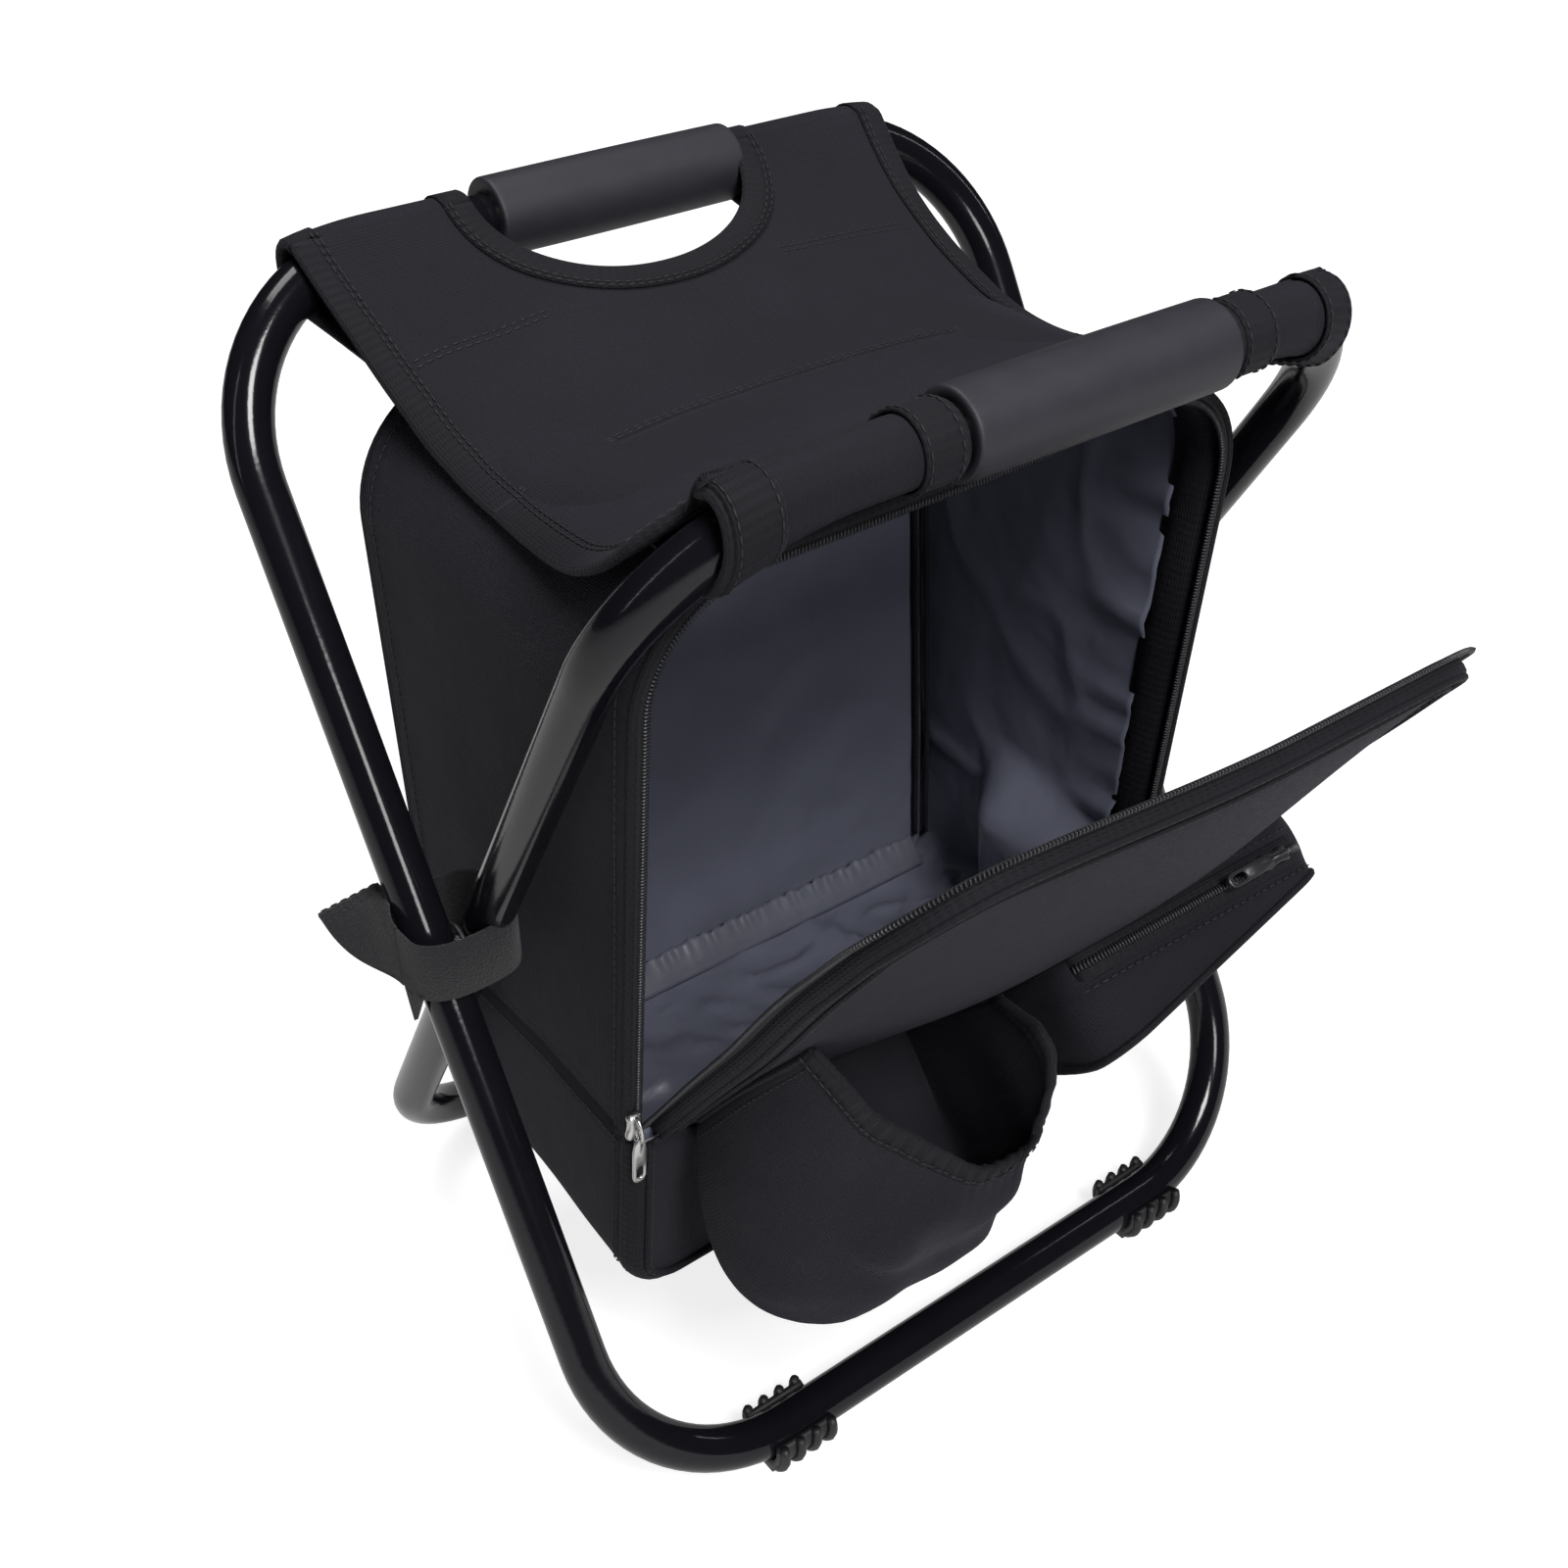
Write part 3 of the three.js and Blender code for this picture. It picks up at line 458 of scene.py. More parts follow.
stitch = dict(pitch=0.0036, length=0.0029, width=0.0007, height=0.0006, segments=6, rings=4)
coil = dict(pitch=0.0013, length=0.00085, width=0.0034, height=0.0019, segments=6, rings=5)


def studRow(name, points, across, spec, look):
    source = polyline(name, points, across=across)
    size = (spec["width"], spec["height"], spec["length"])
    values = {"Pitch": spec["pitch"], "Size": size, "Segments": spec["segments"], "Rings": spec["rings"]}
    return runTree(name, source, trees["studs"], values, look)


# Stitches along lines of (points, up)
def stitches(name, lines):
    made = []
    for k, (points, up) in enumerate(lines):
        points = np.asarray(points)
        ahead = np.gradient(points, axis=0)
        across = unit(np.cross(np.broadcast_to(np.array(up, float), points.shape), ahead))
        made.append(studRow(f"{name}{k}", points, across, stitch, "blackThread"))
    return joined(name, made, "blackThread")


# A row of zip teeth along a line, each lying across it
def zipTeeth(name, points, across):
    return studRow(name, points, across, coil, "nylonCoil")


# Makes the modifiers part of the mesh, so the wall's thickness is in the mesh itself
def settleMesh(piece):
    graph = bpy.context.evaluated_depsgraph_get()
    whole = piece.evaluated_get(graph)
    mesh = bpy.data.meshes.new_from_object(whole, preserve_all_data_layers=True, depsgraph=graph)
    piece.modifiers.clear()
    piece.data = mesh


def carry(piece, body, slot, *nodes, soft=True):
    closes = soft and body == "bag"
    if closes and piece.modifiers:
        settleMesh(piece)
    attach(piece, body)
    if nodes:
        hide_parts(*nodes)
    if closes:
        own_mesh(piece)
    return piece


# A sheet with a wall thickness. The wall grows both ways, or with offset -1 to the inside.
def addLayer(name, look, parts, wall, body, slot, *nodes, offset=0.0, soft=True):
    piece = addPiece(name, look, *parts)
    thicken(piece, wall, offset)
    return carry(piece, body, slot, *nodes, soft=soft)


# Camera

cameraSet = dict(azimuth=-37.0, elevation=35.0, roll=-0.67, distance=0.5822,
                 target=(-0.0763, -0.0523, 0.2883), lens=43.63, sensor=36.0)


def makeCamera(spec):
    a, e, roll = (math.radians(spec[key]) for key in ("azimuth", "elevation", "roll"))
    back = Vector((math.sin(a) * math.cos(e), -math.cos(a) * math.cos(e), math.sin(e)))
    right = Vector((math.cos(a), math.sin(a), 0))
    up = back.cross(right)
    rolledRight = math.cos(roll) * right + math.sin(roll) * up
    rolledUp = math.cos(roll) * up - math.sin(roll) * right
    turn = Matrix((rolledRight, rolledUp, back)).transposed()
    data = bpy.data.cameras.new("camera")
    data.lens = spec["lens"]
    data.sensor_width = spec["sensor"]
    data.clip_start = 0.02
    camera = addObject("camera", data)
    place = Vector(spec["target"]) + spec["distance"] * back
    camera.matrix_world = Matrix.Translation(place) @ turn.to_4x4()
    bpy.context.scene.camera = camera


makeCamera(cameraSet)


# Frame: two tube loops, their rivets, feet and grips

tube = dict(radius=0.0085, bend=0.066, sides=36, bendSteps=20)
barNames = {1: ("rear", "outer_frame"), -1: ("front", "inner_frame")}   # by the side of the top bar
bars, feet, halves = {}, {}, {}
for side, (word, body) in barNames.items():
    low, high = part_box(word + "_grip")
    bars[side] = np.array((low + high) / 2)
    footWord = "front" if side > 0 else "rear"
    low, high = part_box(footWord + "_foot_left")
    feet[side] = np.array([0, (low.y + high.y) / 2, 0.013])
    halves[side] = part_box(body + "_tube")[1].x - tube["radius"]


def makeTube(side):
    body = barNames[side][1]
    half = halves[side]
    top, foot = bars[side], feet[side]
    corners = [(way * half, end[1], end[2]) for way, end in ((1, top), (-1, top), (-1, foot), (1, foot))]
    values = {"Bend": tube["bend"], "Radius": tube["radius"], "Sides": tube["sides"],
              "Steps": tube["bendSteps"]}
    source = polyline(body + "Line", corners, closed=True)
    piece = runTree(body.split("_")[0] + "Tube", source, trees["tube"], values, "framePaint")
    carry(piece, body, "frame_paint", body + "_tube", soft=False)


grip = dict(rim=0.0139, bore=0.0087, corner=0.0011, cornerSteps=4, swell=0.0002, ringStep=0.006)


def makeGrip(side):
    word, body = barNames[side]
    low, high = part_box(word + "_grip")
    r, c, bore = grip["rim"], grip["corner"], grip["bore"]
    turn = np.linspace(0, math.pi / 2, grip["cornerSteps"] + 1)
    first = stacked(low.x + c - c * np.cos(turn), r - c + c * np.sin(turn))
    middle = np.linspace(low.x + 2 * c, high.x - 2 * c, int((high.x - low.x) / grip["ringStep"]))
    swell = grip["swell"] * np.sin(math.pi * (middle - low.x) / (high.x - low.x))
    barrel = stacked(middle, r + swell)
    last = stacked(low.x + high.x - first[::-1, 0], first[::-1, 1])
    start, stop = [[low.x, bore]], [[high.x, bore]]
    profile = np.concatenate([start, first, barrel, last, stop, start])
    profile[:, 0] -= bars[side][0]
    piece = addPiece(word + "Grip", "gripFoam", turned(profile, bars[side]), merge=1e-6, outward=True)
    carry(piece, body, "grip_foam", word + "_grip", soft=False)


rivet = dict(shank=0.003, head=0.005, headHeight=0.002, domeSteps=6, sides=28, play=0.0003, washerEdge=0.0002)


def makeRivets(word):
    low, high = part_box("pivot_rivet_" + word)
    tall, shank, sides = rivet["headHeight"], rivet["shank"], rivet["sides"]
    turn = np.linspace(0, math.pi / 2, rivet["domeSteps"])
    dome = stacked(tall * (1 - np.cos(turn)), rivet["head"] * np.sin(turn))
    first = stacked(low.x + dome[:, 0], dome[:, 1])
    last = stacked(high.x - dome[::-1, 0], dome[::-1, 1])
    profile = np.concatenate([first, [(low.x + tall, shank), (high.x - tall, shank)], last])
    centre = (0, pivot[1], pivot[2])
    solid = turned(profile, centre, sides)
    piece = addPiece("rivet" + word.title(), "platedSteel", solid, merge=1e-6, outward=True)
    carry(piece, "outer_frame", "plated_steel", "pivot_rivet_" + word, soft=False)
    low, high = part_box("pivot_washer_" + word)
    rim, edge = (high.z - low.z) / 2, rivet["washerEdge"]
    bore = shank + rivet["play"]
    ring = [(low.x, bore), (low.x, rim - edge), (low.x + edge, rim), (high.x - edge, rim),
            (high.x, rim - edge), (high.x, bore), (low.x, bore)]
    solid = turned(ring, centre, sides)
    piece = addPiece("washer" + word.title(), "footRubber", solid, merge=1e-6, outward=True)
    carry(piece, "outer_frame", "black_rubber", "pivot_washer_" + word, soft=False)


foot = dict(bore=0.0088, wall=0.0026, lip=0.0034, ribs=4, ribRadius=0.0019, ribReach=0.0122, arcSteps=18,
            endRound=0.0014, endShrink=0.985)


# A clip round the foot bar: a flat sole below, two lips above, and round ribs on its flanks
def makeFoot(side, footWord, word):
    name = f"{footWord}_foot_{word}"
    low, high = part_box(name)
    y, z = feet[side][1], feet[side][2]
    lipTurn = math.asin(foot["lip"] / foot["bore"])
    turn = np.linspace(-lipTurn, math.pi + lipTurn, foot["arcSteps"])
    inner = stacked(foot["bore"] * np.cos(turn), -foot["bore"] * np.sin(turn))
    rim = foot["bore"] + foot["wall"]
    outerTurn = turn[::-1]
    outer = stacked(rim * np.cos(outerTurn), -rim * np.sin(outerTurn))
    outer[:, 1] = np.maximum(outer[:, 1], -z)
    flat = np.abs(outer[:, 0]) < 0.7 * rim
    outer[flat & (outer[:, 1] < 0), 1] = -z
    section = np.concatenate([inner, outer])
    middle = section.mean(0)
    rows = []
    inset, small = foot["endRound"], foot["endShrink"]
    for x, shrink in ((low.x, small), (low.x + inset, 1), (high.x - inset, 1), (high.x, small)):
        ring = (section - middle) * shrink + middle
        rows.append(stacked(np.full(len(ring), x), y + ring[:, 0], z + ring[:, 1]))
    half = len(inner)
    points = np.stack(rows)
    caps = []
    for k, flip in ((0, True), (-1, False)):
        strip = np.stack([points[k, :half], points[k, half:][::-1]])
        caps.append(gridPart(strip, flip=flip))
    pitch = (high.x - low.x - 2 * foot["ribRadius"]) / (foot["ribs"] - 1)
    ribs = []
    for way in (1, -1):
        for k in range(foot["ribs"]):
            x = low.x + foot["ribRadius"] + k * pitch
            bendTurn = np.linspace(-lipTurn, 0.42 * math.pi, 9)
            path = np.stack([np.full(9, x), y + way * foot["ribReach"] * np.cos(bendTurn),
                             z - foot["ribReach"] * np.sin(bendTurn)], -1)
            path[:, 2] = np.maximum(path[:, 2], foot["ribRadius"] + 0.0004)
            ribs.append(sweep(path, circle(foot["ribRadius"], 8), (1, 0, 0)))
    shell = gridPart(points, wrapCols=True)
    pieceName = f"{footWord}Foot{word.title()}"
    piece = addPiece(pieceName, "footRubber", shell, *caps, *ribs, merge=1e-6, outward=True)
    carry(piece, barNames[side][1], "black_rubber", name, soft=False)


for side in barNames:
    makeTube(side)
    makeGrip(side)
    for word in ("left", "right"):
        makeFoot(side, "front" if side > 0 else "rear", word)
for word in ("left", "right"):
    makeRivets(word)
print("frame dressed")


# Seat: cloth slung between the bars. Each half runs from the bag's seam up to a bar, over it,
# and back underneath to the sleeve's seam. v is 0 at the bag's seam and 1 where it meets the bar.

seat = dict(midHeight=0.374, clothRadius=0.0098, thickness=0.0015, droop=0.016, shift=-0.003, sleeve=0.051,
            barRows=40, overRows=14, underRows=7, backRows=7, sideCols=22, holeCols=36, bindWidth=0.010,
            webWidth=0.014, follow=0.35, sleeveDrop=0.0024, bindLift=0.0014, bindSeams=(0.0075, 0.0092),
            bindSeamLift=0.0021, seamLift=0.0009, webSeamLift=0.0026, uvStep=0.11)
# middle, half width, depth from the bar
seatHoles = {1: (-0.005, 0.055, 0.0425), -1: (0.007, 0.053, 0.0425)}
seatEdges = {
    1: ([0, 0.27, 0.5, 0.75, 1, 3, 4], [0.1172, 0.1155, 0.116, 0.1185, 0.1225, 0.1215, 0.1125]),
    -1: ([0, 0.35, 0.7, 0.81, 0.86, 0.895, 0.925, 0.97, 1, 3, 4],
         [0.1172, 0.1212, 0.127, 0.1275, 0.121, 0.1135, 0.112, 0.116, 0.1175, 0.117, 0.107]),
}
seatMidY = (bars[1][1] + bars[-1][1]) / 2


def leaveAngle(side):
    span, rise, r = abs(bars[side][1] - seatMidY), bars[side][2] - seat["midHeight"], seat["clothRadius"]
    low, high = 0.1, 1.3
    for _ in range(50):
        turn = (low + high) / 2
        if rise + r * math.cos(turn) > (span - r * math.sin(turn)) * math.tan(turn) / 2:
            low = turn
        else:
            high = turn
    return turn


leave = {side: leaveAngle(side) for side in bars}


# How far the slung cloth runs level, from the bag's seam to where it meets the bar
def seatSpan(side):
    return abs(bars[side][1] - seatMidY) - seat["clothRadius"] * math.sin(leave[side])


def slungHeight(side, reach):
    return seat["midHeight"] + math.tan(leave[side]) / (2 * seatSpan(side)) * reach ** 2


def edgeAt(side, v):
    return np.interp(v, *seatEdges[side])


# The slack edges hang most at the bag's seam and not at all at the bars
def edgeSag(side, edge, share):
    return seat["droop"] * edge ** 3 * (1 - share ** (2 if side > 0 else 5))


def seatSurface(side, x, v):
    x, v = np.broadcast_arrays(np.asarray(x, float), np.asarray(v, float))
    turn, r = leave[side], seat["clothRadius"]
    span = seatSpan(side)
    share = np.clip(v, 0, 1)
    reach = span * share
    edge = np.clip(np.abs(x - seat["shift"]) / 0.122, 0, 1.1)
    z = slungHeight(side, reach) - edgeSag(side, edge, share)
    flat = stacked(x, seatMidY + side * reach, z)
    ripple = roughness(flat, 28, 3.0, (1, 0.5, 0)) * 0.0015 + roughness(flat, 9, 5.0, (1, 1, 0)) * 0.0024
    drag = flat[..., 0] + 0.55 * flat[..., 1]
    ripple = ripple + 0.0011 * np.sin(95 * drag + 3 * roughness(flat, 12, 6.0, (1, 1, 0))) * edge ** 2
    z = z + ripple * np.sin(math.pi * share) * (0.4 + 0.6 * edge)
    main = stacked(x, seatMidY + side * reach, z)
    # round the bar: first about the straight bar line, then about the tube where it bends down
    leg = unit((pivot - bars[side]) * np.array([0, 1, 1]))
    past = np.clip(np.abs(x) - (halves[side] - tube["bend"]), 0, 0.98 * tube["bend"])
    drop = tube["bend"] - np.sqrt(tube["bend"] ** 2 - past ** 2)
    upper = bars[side][1:] + leg[1:] * (seat["follow"] * drop)[..., None]
    lower = bars[side][1:] + leg[1:] * drop[..., None]
    lean = math.atan2(abs(leg[1]), abs(leg[2]))
    crossing = -math.pi / 2 - lean
    sleeveY = bars[side][1] - side * seat["sleeve"]
    sleeveShare = abs(sleeveY - seatMidY) / span
    sleeveZ = slungHeight(side, span * sleeveShare) - seat["sleeveDrop"]
    seam = stacked(np.full(x.shape, sleeveY), sleeveZ - edgeSag(side, edge, sleeveShare))
    away, up = -side * (seam[..., 0] - lower[..., 0]), seam[..., 1] - lower[..., 1]
    last = np.arctan2(away, up) + np.arccos(np.clip(r / np.hypot(away, up), -1, 1)) - 2 * math.pi
    angle = turn + (crossing - turn) * np.clip(v - 1, 0, 1) + (last - crossing) * np.clip(v - 2, 0, 1)
    centre = upper + (lower - upper) * smooth(v, 1.2, 2.6)[..., None]
    around = stacked(x, centre[..., 0] - side * r * np.sin(angle), centre[..., 1] + r * np.cos(angle))
    back = np.clip(v - 3, 0, 1)[..., None]
    home = stacked(x, seam[..., 0], seam[..., 1])
    result = np.where((v > 1)[..., None], around, main)
    return result * (1 - back) + home * back


def seatNormal(side, x, v):
    x, v = np.broadcast_arrays(np.asarray(x, float), np.asarray(v, float))
    across = seatSurface(side, x + 5e-4, v) - seatSurface(side, x - 5e-4, v)
    along = seatSurface(side, x, v + 0.01) - seatSurface(side, x, np.maximum(v - 0.01, 0))
    return unit(side * np.cross(across, along))


def seatLift(side, x, v, lift):
    return seatSurface(side, x, v) + np.asarray(lift)[..., None] * seatNormal(side, x, v)


def seatRows():
    rows = [np.linspace(0, 1, seat["barRows"])]
    rows.append(np.linspace(1, 2, seat["overRows"] + 1)[1:])
    rows.append(np.linspace(2, 3, seat["underRows"] + 1)[1:])
    rows.append(np.linspace(3, 4, seat["backRows"] + 1)[1:])
    return np.concatenate(rows)


def holeEdge(side, x):
    middle, half, depth = seatHoles[side]
    inside = np.sqrt(np.clip(1 - ((x - middle) / half) ** 2, 0, 1))
    return 1 - np.maximum(depth - seat["clothRadius"] * math.sin(leave[side]), 0) / seatSpan(side) * inside


def seatPiece(piece, side, *nodes):
    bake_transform(piece)
    if nodes:
        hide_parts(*nodes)
    return piece


def makeSeatHalf(side):
    word = barNames[side][0]
    middle, half = seatHoles[side][:2]
    rows = seatRows()
    parts = []
    for way in (-1, 1):
        t = np.linspace(0, 1, seat["sideCols"])[None, :]
        edge = (seat["shift"] + way * edgeAt(side, rows))[:, None]
        x = middle + way * half + (edge - middle - way * half) * t
        uv = stacked(x, np.broadcast_to(rows[:, None] * seat["uvStep"], x.shape))
        parts.append(gridPart(seatSurface(side, x, rows[:, None]), flip=way * side > 0, uv=uv))
    x = middle + half * np.sin(np.linspace(-math.pi / 2, math.pi / 2, seat["holeCols"]))
    share = np.linspace(0, 1, seat["barRows"])[:, None]
    v = holeEdge(side, x)[None, :] * share
    x = np.broadcast_to(x[None, :], v.shape)
    uv = stacked(x, v * seat["uvStep"])
    parts.append(gridPart(seatSurface(side, x, v), flip=side > 0, uv=uv))
    piece = addPiece("seat" + word.title(), "blackCloth", *parts, merge=2e-5)
    thicken(piece, seat["thickness"])
    nodes = [f"{word}_sleeve_left", f"{word}_sleeve_right"]
    if side > 0:
        nodes.append("seat_panel")
    return seatPiece(piece, side, *nodes)


# A tape folded over an edge of the seat: rows run along the edge, columns round it
def edgeTape(side, x, v, inX, inV):
    lifts = np.array([1, 1, 1, 0.6, 0, -0.6, -1, -1, -1]) * seat["bindLift"]
    depth = np.array([1, 0.5, 0.04, -0.05, -0.09, -0.05, 0.04, 0.5, 1]) * seat["bindWidth"]
    x, v = x[:, None] + inX[:, None] * depth, v[:, None] + inV[:, None] * depth
    return gridPart(seatLift(side, x, np.clip(v, 0, 3.9), lifts[None, :]))


# Tape along the free edges and round the hand cut-out. Returns the lines of its stitches.
def makeSeatBinding(side):
    middle, half = seatHoles[side][:2]
    tapes, lines = [], []
    v = np.concatenate([np.linspace(0.0, 1, 60), np.linspace(1.05, 2, 12), 2 + np.linspace(0.05, 1, 6)])
    keep = v <= 1
    for way in (-1, 1):
        x = seat["shift"] + way * edgeAt(side, v)
        tapes.append(edgeTape(side, x, v, np.full(len(v), -way), np.zeros(len(v))))
        for inset in seat["bindSeams"]:
            spots = seatLift(side, x[keep] - way * inset, v[keep], seat["bindSeamLift"])
            lines.append((spots, seatNormal(side, x[keep], v[keep])))
    turn = np.linspace(-math.pi / 2, math.pi / 2, 70)
    x = middle + half * np.sin(turn)
    v = holeEdge(side, x)
    outX, outV = np.sin(turn), -np.cos(turn) / abs(bars[side][1] - seatMidY)
    tapes.append(edgeTape(side, x, v, outX, outV))
    over = np.linspace(1, 3.3, 30)
    for way in (-1, 1):
        tapes.append(edgeTape(side, np.full(30, middle + way * half), over, np.full(30, way), 0 * over))
    for inset in seat["bindSeams"]:
        spots = seatLift(side, x + outX * inset, v + outV * inset, seat["bindSeamLift"])
        lines.append((spots, seatNormal(side, x, v)))
    piece = addPiece(f"seat{barNames[side][0].title()}Binding", "bindingTape", *tapes)
    thicken(piece, 0.0007)
    seatPiece(piece, side)
    return lines


# Stitches beside the binding, across at the bag, and where each sleeve is sewn down
def makeSeatStitches(side, lines):
    sleeveV = (abs(bars[side][1] - seatMidY) - seat["sleeve"]) / seatSpan(side)
    across = np.linspace(-0.112, 0.106, 90)
    sleeves = (np.linspace(-0.118, -0.06, 30), np.linspace(0.041, 0.097, 30))
    rows = [(v, across) for v in (0.014, 0.03)] if side > 0 else []
    rows += [(sleeveV + shift, x) for shift in (0, 0.02) for x in sleeves]
    for v, x in rows:
        flat = np.full(len(x), v)
        lines.append((seatLift(side, x, flat, seat["seamLift"]), seatNormal(side, x, flat)))
    seatPiece(stitches(f"seat{barNames[side][0].title()}Stitches", lines), side)


# Webbing round each end of the front sleeves
def makeSeatWebbing(side):
    word, wide = barNames[side][0].title(), seat["webWidth"]
    middle, half = seatHoles[side][:2]
    webs, lines = [], []
    v = np.concatenate([np.linspace(0.9, 1, 10), np.linspace(1.05, 2, 14), 2 + np.linspace(0.02, 1, 8),
                        3 + np.linspace(0.1, 0.6, 4)])
    rise = -0.0006 + 0.0025 * smooth(v, 0.9, 0.965)
    seen = v[v > 0.95]
    for way in (-1, 1):
        ends = [middle + way * (half + wide / 2 + 0.0015),
                seat["shift"] + way * (edgeAt(side, 1.5) - wide / 2 - 0.0012)]
        for end in ends:
            x = end + np.linspace(-0.5, 0.5, 7) * wide
            webs.append(gridPart(seatLift(side, x[None, :], v[:, None], rise[:, None] + 0 * x[None, :])))
            for inset in (-0.4, 0.4):
                xs = np.full(len(seen), end + inset * wide)
                lines.append((seatLift(side, xs, seen, seat["webSeamLift"]), seatNormal(side, xs, seen)))
    piece = addPiece(f"seat{word}Webbing", "bindingTape", *webs)
    thicken(piece, 0.0009)
    seatPiece(piece, side)
    seatPiece(stitches(f"seat{word}WebStitches", lines), side)


seatHalves = {side: makeSeatHalf(side) for side in bars}
for side in bars:
    makeSeatStitches(side, makeSeatBinding(side))
makeSeatWebbing(-1)
print("seat made")


# Bag: a lofted shell of cloth, foam and lining that is open at the front above the fold

bagLow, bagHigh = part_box("bag_gusset")
bag = dict(half=bagHigh.x, low=bagLow.z, high=bagHigh.z, lowRadius=0.02, highRadius=0.045, fold=0.148,
           frontAtFold=0.062, backAtFold=0.074, frontLean=math.radians(6.3), backLean=math.radians(1.8),
           cloth=0.0012, foam=0.004, foamInset=0.0015, liningInset=0.0058, lining=0.0008, twist=0.006,
           step=0.0038, depthCols=34, hollow=0.004, lowSag=0.008, lowReach=0.004, slack=0.0022,
           softFold=0.0009, groove=0.0022, backRowStep=0.007)


def frontY(z):
    return pivot[1] - bag["frontAtFold"] - math.tan(bag["frontLean"]) * (z - bag["fold"])


def backY(z):
    return pivot[1] + bag["backAtFold"] + math.tan(bag["backLean"]) * (z - bag["fold"])


def bagTwist(x, z):
    rise = np.clip((z - bag["fold"]) / 0.22, 0, 1.1)
    return bag["twist"] * np.maximum(x, 0.35 * x) / bag["half"] * rise


# The upper part twists a little, and the front of the bottom hangs lower
def settled(x, y, z):
    depth = np.clip((y - frontY(z)) / (backY(z) - frontY(z)), 0, 1)
    low = smooth(bag["fold"] - z, 0.0, 0.06) * (1 - depth) ** 1.3
    y = y + bagTwist(x, z) - bag["lowReach"] * low
    return stacked(x * (1 + 0.03 * low), y, z - bag["lowSag"] * low)


# The bag's outline seen from the front, from the middle of the bottom round by the right
def bagOutline(step):
    half, low, high = bag["half"], bag["low"], bag["high"]
    turns = [(half, low, "lowRadius", -0.5), (half, high, "highRadius", 0),
             (-half, high, "highRadius", 0.5), (-half, low, "lowRadius", 1)]
    corners = [(x, z, bag[key], start, max(6, int(bag[key] * 1.57 / step))) for x, z, key, start in turns]
    return roundedBox(corners, step, [np.array([[0, low]])], [np.array([[0, -1]])])


outline, outward = bagOutline(bag["step"])


# Places on the plain wall, by outline point and depth
def wallSpots(spots, depth):
    x, z, depth = np.broadcast_arrays(spots[:, None, 0], spots[:, None, 1], depth)
    return stacked(x, frontY(z) * (1 - depth) + backY(z) * depth, z)


# How far a wall stands out there: hollow sides, slack, a few soft folds and a groove at the fold
def wallPush(spots, ways, depth):
    point = wallSpots(spots, depth)
    sides = np.abs(ways[:, None, 0])
    belly = np.sin(math.pi * depth)
    height = (spots[:, None, 1] - bag["low"]) / (bag["high"] - bag["low"])
    push = -bag["hollow"] * sides * belly * np.sin(math.pi * np.clip(height, 0, 1)) ** 2
    push = push + bag["slack"] * roughness(point, 11, 2.0) * belly
    push = push + bag["softFold"] * roughness(point, 34, 4.0, (1, 1, 0.5)) * belly
    groove = bag["groove"] * bell(spots[:, None, 1], bag["fold"], 0.003) * sides
    return push - groove * smooth(depth * (1 - depth), 0.0, 0.06)


def bagWall(inset, extra=None, near=0.0, far=1.0, cols=None):
    depth = np.linspace(near, far, cols or bag["depthCols"])[None, :]
    push = wallPush(outline, outward, depth) - inset
    if extra is not None:
        push = push - extra(depth)
    x = outline[:, None, 0] + outward[:, None, 0] * push
    z = outline[:, None, 1] + outward[:, None, 1] * push
    y = frontY(z) * (1 - depth) + (backY(z) - inset) * depth
    return settled(x, y, z)


# Points on the bag's front or back rim, drawn in by an inset and moved forward by out
def rimPath(inset, out, back=False, keep=None):
    x = outline[:, 0] - outward[:, 0] * inset
    z = outline[:, 1] - outward[:, 1] * inset
    y = backY(z) if back else frontY(z)
    points = settled(x, y, z) - np.array([0, out, 0])
    return points if keep is None else points[keep]


# A panel in the front view: rows go up, columns across, with the corners rounded
def panelGrid(half, low, high, lowRadius, highRadius, cols, rowStep):
    turns = np.linspace(0, math.pi / 2, 9)
    rows, widths = [], []
    if lowRadius:
        rows.append(low + lowRadius * (1 - np.cos(turns)))
        widths.append(half - lowRadius + lowRadius * np.sin(turns))
    start, stop = low + lowRadius, high - highRadius
    middle = np.linspace(start, stop, max(2, int((stop - start) / rowStep)))
    cutStart, cutStop = (1 if lowRadius else 0), (len(middle) - 1 if highRadius else len(middle))
    rows.append(middle[cutStart:cutStop])
    widths.append(np.full(len(rows[-1]), half))
    if highRadius:
        rows.append(high - highRadius * (1 - np.sin(turns)))
        widths.append(half - highRadius + highRadius * np.cos(turns))
    rows, widths = np.concatenate(rows), np.concatenate(widths)
    # columns crowd towards the edges, so the rim follows the corners
    across = np.sin(np.linspace(-1, 1, cols) * math.pi / 2 * 0.86) / math.sin(math.pi / 2 * 0.86)
    return widths[:, None] * across[None, :], np.broadcast_to(rows[:, None], (len(rows), cols))


def rimShare(x, z, half, low, high):
    return np.clip(np.minimum(half - np.abs(x), np.minimum(z - low, high - z)) / 0.05, 0, 1)


def backPanel(inset, wrinkle, cols=46):
    half, low, high = bag["half"] - inset, bag["low"] + inset, bag["high"] - inset
    x, z = panelGrid(half, low, high, bag["lowRadius"] - inset, bag["highRadius"] - inset, cols,
                     bag["backRowStep"])
    share = smooth(rimShare(x, z, half, low, high), 0, 1)
    flat = stacked(x, 0 * x, z)
    belly = 0.004 * share + share * (0.0028 * roughness(flat, 10, 7.0) + 0.001 * roughness(flat, 30, 8.0))
    points = settled(x, backY(z), z)
    points[..., 1] += belly - inset - wrinkle(flat, share)
    return points, stacked(x, z)


